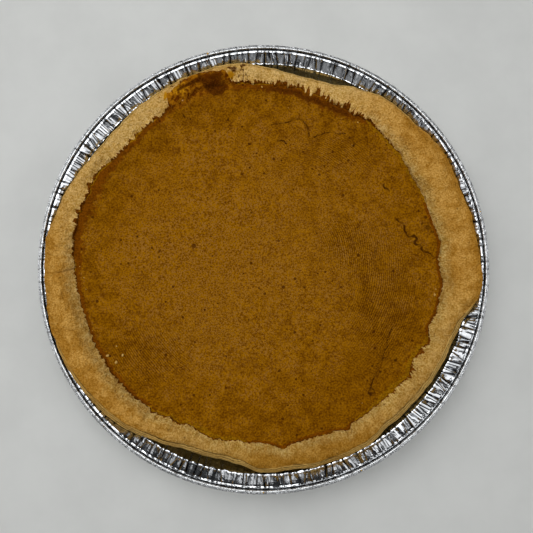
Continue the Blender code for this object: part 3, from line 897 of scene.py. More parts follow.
def make_pastry(sizes, colours):
    columns = sizes.pastry_columns
    angles = np.arange(columns) * 360.0 / columns
    radii, heights, length = pastry_columns(angles, sizes)
    rows = radii.shape[1]
    turn = np.radians(angles)[:, None]
    points = np.stack([radii * np.cos(turn), radii * np.sin(turn), heights], -1)

    first_cut, first_top = ROWS_UNDER, ROWS_UNDER + ROWS_CUT
    last_top = first_top + ROWS_TOP
    number = np.arange(rows)
    along = np.clip((number - first_top + 1) / ROWS_TOP, 0.0, 1.0)
    cut_rows = ((number >= first_cut) & (number < first_top)).astype(float)
    visible = ramp((number - 4) / 3.0) * ramp((last_top + 1.5 - number) / 3.0)
    cut_width = around(CUT_EDGE, angles, 1.5)
    layered = ramp((cut_width - 0.8) / 0.8)[:, None] * cut_rows
    relief = pastry_relief(points, angles, sizes, along[None, :], layered) * visible
    cut_share = np.clip((number - first_cut) / (ROWS_CUT - 1), 0.0, 1.0)
    ledges, phase, strength = layer_lines(points, cut_share[None, :])
    relief += 0.45 * ledges * layered * ramp(np.minimum(cut_share, 1.05 - cut_share) * 8.0)[None, :]

    sideways = np.roll(points, -1, 0) - np.roll(points, 1, 0)
    upwards = np.gradient(points, axis=1)
    normal = np.cross(sideways, upwards)
    normal /= np.linalg.norm(normal, axis=-1, keepdims=True)
    points = points + normal * relief[..., None]
    floor = flange_height(np.hypot(points[..., 0], points[..., 1]), sizes) + 0.3
    outside = (np.hypot(points[..., 0], points[..., 1]) > sizes.shoulder_radius / MM) & (number >= 5)[None, :]
    points[..., 2] = np.where(outside, np.maximum(points[..., 2], floor), points[..., 2])
    points[..., 2] = np.minimum(points[..., 2], 32.2)

    vertices = np.concatenate([points.reshape(-1, 3), [(0, 0, 0.75), (0, 0, 4.7)]])
    pastry = new_object("pastry_case_baked", vertices, round_faces(columns, rows))

    def spread(values):
        return np.concatenate([np.broadcast_to(values, (columns, rows)).ravel(), [0.0, 0.0]])

    _, shore, _, _ = pastry_numbers(angles, sizes)
    from_shore = np.where(number >= first_top, radii - shore[:, None], 15.0)
    from_shore = np.where(number >= last_top, 0.0, from_shore)
    soak_reach = around(SOAK, angles, 1.2)[:, None]
    x, y = points[..., 0], points[..., 1]
    char = blob(x, y, -16.6, 107.6, 1.9, 1.5) + blob(x, y, -11.6, 110.0, 1.5, 1.0) + 0.7 * blob(x, y, -19.2, 108.6, 2.0, 0.9)
    char += 0.8 * blob(x, y, -45.4, 100.4, 2.0, 1.0) + 0.6 * blob(x, y, -50.6, 97.9, 1.6, 0.9)
    for path in (
        ((-11.8, 110.0), (-14.5, 103.5), (-16.1, 99.8)),
        ((-11.3, 107.8), (-11.5, 103.5), (-12.9, 98.7)),
        ((-10.2, 105.7), (-8.6, 102.5), (-9.2, 98.7)),
        ((-17.6, 104.2), (-18.6, 102.4), (-18.4, 100.0)),
    ):
        away, _ = distance_to_path(x, y, path)
        char += 0.58 * np.exp(-((away / 0.5) ** 2)) * (number >= first_top)[None, :]
    amber = 0.8 * blob(x, y, -18.4, 104.8, 2.4, 2.2) + 0.6 * blob(x, y, -54.5, 92.5, 2.0, 3.0)
    lip = np.exp(-(((along[None, :] * length[:, None]) / 0.45) ** 2)) * ramp((cut_width - 0.8) / 0.8)[:, None]
    paint(pastry, "cut", spread(layered * np.clip(strength, 0, 1)))
    # Painted shade on the pastry's side below the cut edge.
    paint(pastry, "under", spread(1.0 - ramp((number - first_cut + 1.0) / 3.0)))
    # Painted light on the pastry's foot by the custard, where its steep face is in shade.
    paint(pastry, "foot", spread(1.0 - ramp((from_shore - 0.4) / 1.6)))
    paint(pastry, "lip", spread(lip * (number >= first_top)[None, :]))
    paint(pastry, "inner", spread(1.0 - ramp((from_shore - 1.0) / 6.0)))
    paint(pastry, "soak", spread(np.clip(1.0 - (from_shore - 0.5) / soak_reach, -1.0, 1.0)))
    paint(pastry, "layer", spread(phase * np.ones_like(points[..., 0])))
    paint(pastry, "edge", spread(1.0 - ramp((along[None, :] * length[:, None]) / 7.0)))
    # Painted shade by angle, partly a browner bake, blended from its value near the custard to its value on the top.
    near = around([row[:2] for row in SHADE], angles, 3.0)[:, None]
    far = around([(row[0], row[2]) for row in SHADE], angles, 3.0)[:, None]
    paint(pastry, "shade", spread(far + (near - far) * (1.0 - ramp((from_shore - 2.0) / 7.0))))
    paint(pastry, "pallor_and_light", spread(around(PALLOR_AND_LIGHT, angles, 2.5)[:, None]))
    paint(pastry, "char", spread(np.clip(char, 0, 1)))
    paint(pastry, "amber", spread(np.clip(amber, 0, 1)))
    streak = np.stack(
        [
            np.broadcast_to(105 * np.cos(turn), points.shape[:2]),
            np.broadcast_to(105 * np.sin(turn), points.shape[:2]),
            0.16 * from_shore,
        ],
        -1,
    ).reshape(-1, 3)
    paint(pastry, "streak", np.concatenate([streak, np.zeros((2, 3))]) * MM)
    finish_piece(pastry, pastry_material(colours), "pastry_case")


def pastry_material(colours):
    """Shortcrust: golden on top, pale inside, browner at the edge, stained where the custard soaked in, with painted
    shade below the cut edge, in its crevices and by angle, and painted light at its foot.
    """
    material, tree, shader, place = new_material(
        "baked_pastry", colours.pastry_golden, 0.8, specular=0.04, tint=(1.0, 0.8, 0.5)
    )
    grain = use_group(tree, baked_grain(), {"Vector": place, "Size": 0.00085, "Unevenness": 0.3})
    patches = map_range(tree, shader_noise(tree, place, 0.0085, 4.0, 0.6), 0.42, 0.58)
    small = map_range(tree, shader_noise(tree, place, 0.0032, 2.0), 0.35, 0.7)

    golden = (*colours.pastry_golden[:3], 1.0)
    brown = (*colours.pastry_brown[:3], 1.0)
    pale = (*colours.pastry_pale[:3], 1.0)
    juice = (*colours.custard_caramel[:3], 1.0)
    # A paler or browner bake by angle, partly painted light on the northern inner banks.
    pallor_and_light = attribute(tree, "pallor_and_light")
    freckles = use_group(tree, specks(), {"Vector": place, "Spacing": 0.0021, "Radius": 0.34, "Share": 0.5})
    share = math_node(tree, "MULTIPLY_ADD", freckles.outputs[0], 0.4, math_node(tree, "MULTIPLY", patches, 0.75))
    share = math_node(tree, "MULTIPLY_ADD", attribute(tree, "edge"), 0.55, share)
    share = math_node(tree, "MULTIPLY_ADD", pallor_and_light, -0.7, share, clamp=True)
    colour = mix_colours(tree, share, golden, brown)
    inner = attribute(tree, "inner")
    inner = math_node(tree, "MULTIPLY", inner, map_range(tree, small, 0.0, 1.0, 0.3, 0.9), clamp=True)
    inner = math_node(tree, "MAXIMUM", inner, math_node(tree, "MULTIPLY", pallor_and_light, map_range(tree, small, 0, 1, 0.75, 1.05)))
    colour = mix_colours(tree, math_node(tree, "MULTIPLY", inner, 1.0, clamp=True), colour, pale)
    streak = attribute(tree, "streak", "Vector")
    strokes = map_range(tree, shader_noise(tree, streak, 0.0012, 2.0, 0.6), 0.5, 0.62)
    strokes = math_node(tree, "MULTIPLY", strokes, attribute(tree, "inner"))
    strokes = math_node(tree, "MULTIPLY", strokes, math_node(tree, "MULTIPLY_ADD", pallor_and_light, 0.5, 0.45), clamp=True)
    colour = mix_colours(tree, strokes, colour, (*[min(c * 1.3, 1.0) for c in pale[:3]], 1.0))
    lighter = mix_colours(tree, 1.0, colour, (1.24, 1.3, 1.7, 1.0), "MULTIPLY")
    darker = mix_colours(tree, 1.0, colour, (0.76, 0.68, 0.44, 1.0), "MULTIPLY")
    colour = mix_colours(tree, grain.outputs["Tone"], darker, lighter)
    # Painted light at the pastry's foot, lifting the shade on its steep face.
    foot_light = mix_colours(tree, 1.0, colour, (1.12, 1.16, 1.25, 1.0), "MULTIPLY")
    colour = mix_colours(tree, attribute(tree, "foot"), colour, foot_light)
    # Painted shade, partly a browner bake: the pastry is dimmed where the shade attribute is high.
    shade_dimmed = mix_colours(tree, 1.0, colour, (0.78, 0.79, 0.72, 1.0), "MULTIPLY")
    colour = mix_colours(tree, attribute(tree, "shade"), colour, shade_dimmed)
    fibres = map_range(tree, shader_noise(tree, streak, 0.0008, 2.0, 0.6), 0.52, 0.66)
    fibres = math_node(tree, "MULTIPLY", fibres, map_range(tree, attribute(tree, "inner"), 0.0, 1.0, 0.15, 0.6))
    fibre = mix_colours(tree, 1.0, colour, (0.72, 0.62, 0.4, 1.0), "MULTIPLY")
    colour = mix_colours(tree, fibres, colour, fibre)

    # Painted shade in the crevices between the cut layers, and a darker line along the lip.
    sheet = math_node(tree, "FRACT", attribute(tree, "layer"))
    crevice = map_range(tree, sheet, 0.42, 0.26)
    crevice = math_node(tree, "MULTIPLY", crevice, attribute(tree, "cut"))
    colour = mix_colours(tree, math_node(tree, "MULTIPLY", attribute(tree, "cut"), 0.55), colour,
                         (*[c * 1.04 for c in colours.pastry_pale[:3]], 1.0))
    crevice = math_node(tree, "MAXIMUM", crevice, math_node(tree, "MULTIPLY", attribute(tree, "lip"), 0.6))
    colour = mix_colours(tree, math_node(tree, "MULTIPLY", crevice, 0.95), colour, (*[c * 0.22 for c in brown[:3]], 1.0))

    # Painted shade on the pastry's side below the cut edge.
    shaded = mix_colours(tree, 1.0, colour, (0.4, 0.46, 0.55, 1.0), "MULTIPLY")
    colour = mix_colours(tree, attribute(tree, "under"), colour, shaded)
    tongues = shader_noise(tree, streak, 0.0017, 1.5, 0.5)
    ragged = shader_noise(tree, place, 0.0009, 2.0)
    reach = math_node(tree, "MULTIPLY_ADD", tongues, 4.2, attribute(tree, "soak"))
    reach = math_node(tree, "MULTIPLY_ADD", ragged, 1.2, reach)
    film = map_range(tree, reach, 2.95, 3.15)
    soaked = map_range(tree, reach, 3.1, 3.25)
    deep = map_range(tree, reach, 3.9, 4.8)
    amber_film = (*[c * 0.6 for c in colours.custard_amber[:3]], 1.0)
    colour = mix_colours(tree, math_node(tree, "MULTIPLY", film, 0.3), colour, amber_film)
    body = mix_colours(tree, deep, juice, (*[c * 0.8 for c in colours.custard[:3]], 1.0))
    body = mix_colours(tree, grain.outputs["Tone"], mix_colours(tree, 1.0, body, (0.6, 0.55, 0.4, 1.0), "MULTIPLY"),
                       mix_colours(tree, 1.0, body, (1.35, 1.4, 2.0, 1.0), "MULTIPLY"))
    colour = mix_colours(tree, soaked, colour, body)

    amber = (*colours.custard_amber[:3], 1.0)
    burnt = (*colours.custard_burnt[:3], 1.0)
    spread = shader_noise(tree, place, 0.0018, 3.0)
    wet = map_range(tree, math_node(tree, "MULTIPLY_ADD", spread, 0.9, attribute(tree, "amber")), 0.75, 1.0)
    colour = mix_colours(tree, wet, colour, amber)
    black = map_range(tree, math_node(tree, "MULTIPLY_ADD", spread, 1.2, attribute(tree, "char")), 0.85, 1.3)
    black = math_node(tree, "MULTIPLY", black, map_range(tree, ragged, 0.35, 0.6, 0.7, 1.0))
    colour = mix_colours(tree, black, colour, burnt)

    pores = use_group(tree, specks(), {"Vector": place, "Spacing": 0.0042, "Radius": 0.16, "Share": 0.3})
    pore = math_node(tree, "MULTIPLY", pores.outputs[0], 0.55)
    colour = mix_colours(tree, pore, colour, (*[c * 0.5 for c in brown[:3]], 1.0))
    tree.links.new(colour, shader.inputs["Base Color"])
    tree.links.new(map_range(tree, soaked, 0.0, 1.0, 0.82, 0.5), shader.inputs["Roughness"])
    wrinkles = shader_noise(tree, streak, 0.0011, 1.0)
    height = math_node(tree, "MULTIPLY_ADD", small, 0.8, grain.outputs["Height"])
    height = math_node(tree, "MULTIPLY_ADD", wrinkles, 0.5, height)
    height = math_node(tree, "SUBTRACT", height, pores.outputs[0])
    bump(tree, shader, height, 0.0005, 1.0)
    return material


# ---------------------------------------------------------------------------------------------------
# Custard


def disc_points(count):
    """An even grid of count by count cells bent into a unit disc, as (x, y) arrays."""
    line = np.linspace(-1.0, 1.0, count + 1)
    a, b = np.meshgrid(line, line, indexing="ij")
    wide = np.abs(a) > np.abs(b)
    radius = np.where(wide, a, b)
    with np.errstate(divide="ignore", invalid="ignore"):
        turn = np.where(wide, math.pi / 4 * b / a, math.pi / 2 - math.pi / 4 * a / b)
    turn = np.where(radius == 0, 0.0, turn)
    return radius * np.cos(turn), radius * np.sin(turn)


def plateau_outline(angles):
    """Radius and height of the low step that rings the custard's middle."""
    radius = ((0, 61.5), (14, 66), (18, 72), (35, 78), (60, 77), (75, 79), (90, 76), (120, 72), (150, 78),
              (166, 79.5), (172, 82), (178, 81), (184, 79), (200, 76), (250, 70), (300, 76), (315, 80),
              (330, 80), (345, 70))
    height = ((0, 0.12), (12, 0.2), (20, 0.12), (40, 0.1), (60, 0.0), (120, 0.05), (158, 0.15), (168, 0.45),
              (180, 0.4), (190, 0.12), (230, 0.0), (300, 0.05), (320, 0.12), (340, 0.05))
    return around(radius, angles, 2.5), around(height, angles, 2.5)


def custard_relief(x, y, shore, level):
    """The height of the custard's surface, and how much painted shade each spot gets from cracks and pits."""
    radius = np.hypot(x, y)
    turn = np.degrees(np.arctan2(y, x)) % 360
    spot = np.stack([x, y, np.zeros_like(x)], -1)
    height = level - 1.0 * (1.0 - (radius / 97.0) ** 2)
    height = height + 0.32 * noise(spot, 34.0, 41) + 0.13 * noise(spot, 13.0, 42) + 0.05 * noise(spot, 4.5, 43)
    edge, step = plateau_outline(turn)
    wobble = 1.2 * noise(spot, 7.0, 44)
    height = height + step * ramp((edge + wobble - radius) / 1.6 + 0.5)
    dark = np.zeros_like(x)
    for _, path, depth, width, rise in CRACKS:
        shaky = spot + 0.9 * np.stack([noise(spot, 3.5, 45), noise(spot, 3.5, 46), np.zeros_like(x)], -1)
        away, side = distance_to_path(shaky[..., 0], shaky[..., 1], path)
        groove = np.exp(-((away / width) ** 2))
        height = height - depth * groove
        height = height + rise * np.exp(-((away / 4.0) ** 2)) * np.where(side < 0, 1.0, 0.0) * 0.5
        dark = np.maximum(dark, groove * min(1.0, depth * 1.6))
    for cx, cy, size, depth in PITS:
        pit = blob(x, y, cx, cy, size * 0.8)
        height = height - depth * pit
        dark = np.maximum(dark, 0.9 * pit)
    height = height + around(RISE, turn, 4.0) * np.exp(-((np.clip(shore + 0.5 - radius, 0, 99) / 9.0) ** 2))
    near_edge = ramp((radius - 84.0) / 8.0)
    height = height + 0.12 * near_edge * noise(spot, 2.2, 47)
    return height, dark


def make_custard(sizes, colours):
    count = sizes.custard_cells
    level = sizes.custard_level / MM
    unit_x, unit_y = disc_points(count)
    share = np.hypot(unit_x, unit_y)
    turn = np.degrees(np.arctan2(unit_y, unit_x)) % 360
    _, shore, _, _ = pastry_numbers(turn.ravel(), sizes)
    shore = shore.reshape(turn.shape)
    boil = around(BOIL_OVER, turn, 0.5) * ((turn > 99.0) & (turn < 121.2))
    reach = shore + 1.7 + np.where(boil > 0, boil, 0.0)
    x = reach * share * np.cos(np.radians(turn))
    y = reach * share * np.sin(np.radians(turn))
    height, dark = custard_relief(x, y, shore, level)
    radius = np.hypot(x, y)

    # Beyond the shoreline the skin lies on the pastry, which it follows up and over.
    pastry = bpy.data.objects["pastry_case_baked"]
    past = radius - shore
    climbing = (past > -2.0) & (boil > 0.05)
    lie = np.zeros_like(x)
    for i, j in zip(*np.nonzero(climbing)):
        lie[i, j] = surface_height(pastry, x[i, j], y[i, j])
    spot = np.stack([x, y, np.zeros_like(x)], -1)
    to_edge = ramp((reach - radius) / 1.3)
    skin = lie + (0.85 + 0.25 * noise(spot, 4.0, 51) + 0.22 * noise(spot, 1.7, 52)) * to_edge - 0.3 * (1 - to_edge)
    height = np.where(climbing, np.maximum(height, skin), height)

    lowest = 4.9
    rim = []
    rim += [(i, 0) for i in range(count)]
    rim += [(count, j) for j in range(count)]
    rim += [(i, count) for i in range(count, 0, -1)]
    rim += [(0, j) for j in range(count, 0, -1)]
    number = np.arange((count + 1) ** 2).reshape(count + 1, count + 1)
    top = np.stack([x, y, height], -1).reshape(-1, 3)
    rim_numbers = [number[i, j] for i, j in rim]
    rim_turn = np.array([turn[i, j] for i, j in rim])
    rim_shore = np.array([shore[i, j] for i, j in rim])
    sides = []
    for inset, z in ((0.4, level - 2.0), (3.2, 12.0), (7.0, lowest)):
        radius_here = rim_shore - inset
        radius_here = np.minimum(radius_here, 98.5 - 0.35 * (12.0 - z)) if z <= 12.0 else radius_here
        sides.append(
            np.stack(
                [
                    radius_here * np.cos(np.radians(rim_turn)),
                    radius_here * np.sin(np.radians(rim_turn)),
                    np.full(len(rim), z),
                ],
                -1,
            )
        )
    vertices = np.concatenate([top, *sides, [(0.0, 0.0, lowest)]])
    faces = []
    for i in range(count):
        for j in range(count):
            faces.append((number[i, j], number[i + 1, j], number[i + 1, j + 1], number[i, j + 1]))
    rings = [rim_numbers] + [
        [len(top) + ring * len(rim) + k for k in range(len(rim))] for ring in range(len(sides))
    ]
    for upper, lower in zip(rings, rings[1:]):
        for k in range(len(rim)):
            m = (k + 1) % len(rim)
            faces.append((upper[k], lower[k], lower[m], upper[m]))
    hub = len(vertices) - 1
    for k in range(len(rim)):
        faces.append((hub, rings[-1][(k + 1) % len(rim)], rings[-1][k]))
    custard = new_object("pumpkin_custard", vertices, faces)

    extra = len(vertices) - len(top)

    def spread(values):
        return np.concatenate([values.ravel(), np.zeros(extra)])

    width = around(CARAMEL_AND_SHADE, turn, 1.5)
    burn = 1.0 * blob(x, y, -27.6, 101.0, 7.2, 7.0) + 0.25 * blob(x, y, -40.0, 99.5, 5.5, 5.0)
    hem, _ = distance_to_path(x, y, ((-36.5, 104.4), (-35.1, 103.0), (-31.6, 98.6), (-27.6, 95.4), (-23.2, 96.6), (-20.9, 99.4)))
    scar, _ = distance_to_path(x, y, ((-47.4, 95.6), (-43.4, 98.0), (-39.3, 100.2), (-36.0, 101.4)))
    burn += 0.5 * np.exp(-((hem / 1.2) ** 2)) + 0.9 * np.exp(-((scar / 1.0) ** 2))
    fringe = ramp((turn - 57.0) / 4.0) * ramp((100.0 - turn) / 16.0)
    burn += 0.9 * fringe * np.exp(-(((shore - radius - 1.6) / 2.4) ** 2))
    burn += 0.3 * blob(x, y, -33.0, 92.0, 8.0, 3.0) + 0.2 * blob(x, y, -20.0, 93.0, 5.0, 4.0)
    amber = 1.0 * blob(x, y, -47.0, 96.5, 7.5, 4.5) + 0.8 * blob(x, y, -38.0, 105.0, 4.5, 2.0)
    amber += 0.5 * blob(x, y, -22.0, 108.0, 3.0, 2.0) + 1.3 * blob(x, y, -30.4, 97.3, 0.6, 1.3)
    patch = ramp((past + 3.0) / 4.0) * ramp(boil / 1.5) + 0.65 * blob(x, y, -36.0, 96.0, 13.0, 5.0)
    # Painted light and shade over the custard: lighter round the left of the middle, darker towards the rim, the lower
    # right and the bottom.
    middle = blob(x, y, -26.0, 0.0, 44.0, 38.0) + 0.5 * blob(x, y, 46.0, 8.0, 10.0, 8.0)
    middle += 0.4 * blob(x, y, -76.0, 14.0, 7.0, 12.0) + 0.3 * blob(x, y, -8.0, -48.0, 18.0, 14.0)
    middle -= 0.45 * ramp((radius - 68.0) / 22.0) + 0.55 * blob(x, y, 62.0, -62.0, 36.0, 36.0)
    middle += 0.2 * blob(x, y, 78.0, 8.0, 20.0, 40.0) - 0.25 * blob(x, y, 20.0, -84.0, 60.0, 24.0)
    middle += 0.3 * blob(x, y, -50.0, -52.0, 20.0, 20.0)
    wave = blob(x, y, -62.0, -50.0, 26.0, 20.0) + blob(x, y, 66.0, -20.0, 24.0, 40.0) + blob(x, y, 44.0, 12.0, 14.0, 12.0)
    wave += 0.8 * blob(x, y, 40.0, 62.0, 30.0, 16.0)
    paint(custard, "patch", spread(np.clip(patch, 0, 1)))
    paint(custard, "middle", spread(np.clip(middle, -1, 1)))
    paint(custard, "wave", spread(np.clip(wave, 0, 1)))
    paint(custard, "dark", spread(dark))
    paint(custard, "caramel_and_shade", spread(np.clip(1.0 - (shore - radius) / width, -1.0, 1.5)))
    paint(custard, "burn", spread(np.clip(burn, 0, 1)))
    paint(custard, "amber", spread(np.clip(amber, 0, 1)))
    film = 1.0 - (shore - radius) / around(FILM, turn, 2.0)
    film = film - 2.5 * ramp((1.2 - around(FILM, turn, 2.0)) / 0.5)
    film = np.where((past > 0.5) & (boil > 0), -1.5, film)
    paint(custard, "film", spread(np.clip(film, -1.5, 1.2)))
    finish_piece(custard, custard_material(colours), "custard_filling")


def custard_material(colours):
    """Baked custard: fine spice grain, paler dots partly painted glints, faint ripples, cracks in painted shade, a
    border caramelised and partly painted shadow, painted light and shade over the whole, burnt patch.
    """
    material, tree, shader, place = new_material(
        "pumpkin_custard", colours.custard, 0.5, specular=0.02, tint=(1.0, 0.62, 0.15)
    )
    grain = use_group(tree, baked_grain(), {"Vector": place, "Size": 0.0009, "Unevenness": 0.3})
    tone = grain.outputs["Tone"]
    plain = (*colours.custard[:3], 1.0)
    light = (*colours.custard_light[:3], 1.0)
    caramel_and_shade = (*colours.custard_caramel[:3], 1.0)
    burnt = (*colours.custard_burnt[:3], 1.0)
    amber = (*colours.custard_amber[:3], 1.0)
    shadow = (colours.custard[0] * 0.42, colours.custard[1] * 0.33, colours.custard[2] * 0.36, 1.0)
    colour = mix_colours(tree, tone, shadow, plain)
    # Painted light and shade from the middle attribute, with uneven tone added: a darker tone and fewer pale dots where
    # it is low.
    middle = attribute(tree, "middle")
    drift = map_range(tree, shader_noise(tree, place, 0.01, 3.0, 0.6), 0.35, 0.65, -0.5, 0.5)
    middle = math_node(tree, "ADD", middle, drift)
    away = wire(tree, "ShaderNodeVectorMath", {0: place, 1: (0.3, 0.2, 0.1)}, operation="ADD").outputs[0]
    # Paler dots, partly painted glints of wet shine, more of them where the painted light is brighter.
    dots_and_glints = map_range(tree, shader_noise(tree, away, 0.0009, 2.0, 0.6), 0.47, 0.62)
    dots_and_glints = math_node(tree, "MULTIPLY", dots_and_glints, map_range(tree, middle, -0.9, 0.9, 0.12, 0.85))
    colour = mix_colours(tree, dots_and_glints, colour, light)
    shaded_custard = mix_colours(tree, 1.0, colour, (0.8, 0.76, 0.5, 1.0), "MULTIPLY")
    colour = mix_colours(tree, map_range(tree, middle, 0.1, -1.0), colour, shaded_custard)
    apart = wire(tree, "ShaderNodeSeparateXYZ", {0: place})
    squares = [math_node(tree, "MULTIPLY", apart.outputs[axis], apart.outputs[axis]) for axis in (0, 1)]
    ring = math_node(tree, "MULTIPLY", math_node(tree, "SQRT", math_node(tree, "ADD", *squares)), math.tau / 0.00112)
    ring = math_node(tree, "MULTIPLY_ADD", shader_noise(tree, place, 0.012, 1.0), 14.0, ring)
    ring = math_node(tree, "SINE", ring)
    ripple = math_node(tree, "MULTIPLY", ring, attribute(tree, "wave"))
    lines = mix_colours(tree, 1.0, colour, (0.5, 0.43, 0.35, 1.0), "MULTIPLY")
    colour = mix_colours(tree, map_range(tree, ripple, 0.1, 0.9), colour, lines)

    # The darker border: caramelised, and on the west side also painted shadow cast by the pastry.
    tongues = shader_noise(tree, place, 0.0028, 3.0, 0.65)
    reach = math_node(tree, "MULTIPLY_ADD", tongues, 2.2, attribute(tree, "caramel_and_shade"))
    rim = map_range(tree, reach, 1.1, 1.6)
    toasted_and_shaded = mix_colours(tree, tone, (*[c * 0.7 for c in caramel_and_shade[:3]], 1.0), (*[c * 1.3 for c in caramel_and_shade[:3]], 1.0))
    colour = mix_colours(tree, math_node(tree, "MULTIPLY", rim, 0.92), colour, toasted_and_shaded)
    shallow = shader_noise(tree, place, 0.0035, 3.0, 0.6)
    film = math_node(tree, "MULTIPLY_ADD", shallow, 2.4, attribute(tree, "film"))
    film = map_range(tree, film, 1.45, 1.8)
    thin = mix_colours(tree, tone, (0.17, 0.07, 0.001, 1.0), (0.36, 0.17, 0.003, 1.0))
    colour = mix_colours(tree, math_node(tree, "MULTIPLY", film, 0.8), colour, thin)

    spice = use_group(tree, specks(), {"Vector": place, "Spacing": 0.0042, "Radius": 0.22, "Share": 0.5})
    large = use_group(tree, specks(), {"Vector": place, "Spacing": 0.0105, "Radius": 0.16, "Share": 0.55})
    spots = math_node(tree, "MAXIMUM", spice.outputs[0], large.outputs[0])
    colour = mix_colours(tree, math_node(tree, "MULTIPLY", spots, 0.8), colour, (0.06, 0.014, 0.001, 1.0))
    pores = use_group(tree, specks(), {"Vector": away, "Spacing": 0.0026, "Radius": 0.26, "Share": 0.4})
    colour = mix_colours(tree, math_node(tree, "MULTIPLY", pores.outputs[0], 0.5), colour, (0.1, 0.028, 0.001, 1.0))

    blister = shader_noise(tree, place, 0.0014, 3.0, 0.7)
    wide = shader_noise(tree, place, 0.0036, 3.0, 0.65)
    clots = math_node(tree, "MULTIPLY_ADD", wide, 1.4, blister)
    clots = map_range(tree, clots, 1.05, 1.4, soft=False)
    crusted = mix_colours(tree, clots, (0.12, 0.028, 0.0008, 1.0), (0.44, 0.165, 0.005, 1.0))
    colour = mix_colours(tree, attribute(tree, "patch"), colour, crusted)
    wet = math_node(tree, "MULTIPLY_ADD", clots, 0.55, attribute(tree, "amber"))
    wet = map_range(tree, wet, 0.75, 1.25)
    syrup = mix_colours(tree, clots, (*[c * 0.5 for c in amber[:3]], 1.0), (*[c * 1.3 for c in amber[:3]], 1.0))
    syrup = mix_colours(tree, tone, mix_colours(tree, 1.0, syrup, (0.7, 0.65, 0.6, 1.0), "MULTIPLY"), syrup)
    colour = mix_colours(tree, math_node(tree, "MULTIPLY", wet, 0.85), colour, syrup)
    black = math_node(tree, "MULTIPLY_ADD", blister, 2.0, attribute(tree, "burn"))
    black = map_range(tree, math_node(tree, "MULTIPLY_ADD", wide, 0.8, black), 1.8, 2.3)
    embers = mix_colours(tree, 1.0, burnt, (1.6, 1.8, 1.6, 1.0), "MULTIPLY")
    ashes = mix_colours(tree, 1.0, burnt, (0.62, 0.55, 0.6, 1.0), "MULTIPLY")
    embers = mix_colours(tree, map_range(tree, blister, 0.44, 0.58), ashes, embers)
    colour = mix_colours(tree, math_node(tree, "MULTIPLY", black, 0.95), colour, embers)
    # Painted shade in the cracks and pits.
    cracked = map_range(tree, attribute(tree, "dark"), 0.1, 0.6)
    broken = map_range(tree, shader_noise(tree, place, 0.0026, 2.0), 0.4, 0.56, 0.45, 1.0)
    cracked = math_node(tree, "MULTIPLY", cracked, broken)
    colour = mix_colours(tree, math_node(tree, "MULTIPLY", cracked, 0.95), colour, (0.05, 0.014, 0.001, 1.0))
    tree.links.new(colour, shader.inputs["Base Color"])

    height = math_node(tree, "MULTIPLY_ADD", ripple, 0.25, grain.outputs["Height"])
    height = math_node(tree, "SUBTRACT", height, math_node(tree, "MULTIPLY", spots, 0.6))
    height = math_node(tree, "MULTIPLY_ADD", math_node(tree, "MULTIPLY", blister, attribute(tree, "patch")), 2.0, height)
    tree.links.new(map_range(tree, grain.outputs["Tone"], 0.0, 1.0, 0.55, 0.42), shader.inputs["Roughness"])
    bump(tree, shader, height, 0.0003, 0.9)
    return material


# ---------------------------------------------------------------------------------------------------
# Crumbs, drops and flakes


def scatter_tree():
    """Geometry nodes: a small uneven bit on each given point, turned and sized at random."""
    tree = bpy.data.node_groups.new("scattered_bits", "GeometryNodeTree")
    face = tree.interface
    for name, kind, default in (
        ("Points", "NodeSocketObject", None),
        ("Flatness", "NodeSocketFloat", 0.55),
        ("Unevenness", "NodeSocketFloat", 0.25),
        ("Seed", "NodeSocketInt", 3),
        ("Material", "NodeSocketMaterial", None),
    ):
        socket = face.new_socket(name, in_out="INPUT", socket_type=kind)
        if default is not None:
            socket.default_value = default
    face.new_socket("Geometry", in_out="OUTPUT", socket_type="NodeSocketGeometry")
    given = wire(tree, "NodeGroupInput").outputs
    points = wire(tree, "GeometryNodeObjectInfo", {"Object": given["Points"]}).outputs["Geometry"]
    bit = wire(tree, "GeometryNodeMeshIcoSphere", {"Radius": 0.5, "Subdivisions": 3}).outputs[0]
    size = wire(tree, "GeometryNodeInputNamedAttribute", {"Name": "size"}, data_type="FLOAT").outputs[0]
    spin = wire(tree, "FunctionNodeRandomValue", {"Seed": given["Seed"]}, data_type="FLOAT_VECTOR")
    spin.inputs[0].default_value = (-0.5, -0.5, 0.0)
    spin.inputs[1].default_value = (0.5, 0.5, 6.28)
    flat = wire(tree, "ShaderNodeCombineXYZ", {0: 1.0, 1: 0.72, 2: given["Flatness"]}).outputs[0]
    scale = wire(tree, "ShaderNodeVectorMath", {0: flat}, operation="SCALE")
    tree.links.new(size, scale.inputs["Scale"])
    placed = wire(
        tree,
        "GeometryNodeInstanceOnPoints",
        {"Points": points, "Instance": bit, "Rotation": spin.outputs[0], "Scale": scale.outputs[0]},
    )
    real = wire(tree, "GeometryNodeRealizeInstances", {0: placed.outputs[0]}).outputs[0]
    place = wire(tree, "GeometryNodeInputPosition").outputs[0]
    rough = wire(tree, "ShaderNodeTexNoise", {"Vector": place, "Scale": 900.0, "Detail": 2.0}).outputs[1]
    centred = wire(tree, "ShaderNodeVectorMath", {0: rough, 1: (0.5, 0.5, 0.5)}, operation="SUBTRACT")
    grown = wire(tree, "ShaderNodeVectorMath", {0: centred.outputs[0]}, operation="SCALE")
    tree.links.new(math_node(tree, "MULTIPLY", given["Unevenness"], 0.004), grown.inputs["Scale"])
    uneven = wire(tree, "GeometryNodeSetPosition", {"Geometry": real, "Offset": grown.outputs[0]})
    smooth = wire(tree, "GeometryNodeSetShadeSmooth", {"Geometry": uneven.outputs[0], "Shade Smooth": True})
    dressed = wire(tree, "GeometryNodeSetMaterial", {0: smooth.outputs[0], "Material": given["Material"]})
    wire(tree, "NodeGroupOutput", {0: dressed.outputs[0]})
    return tree


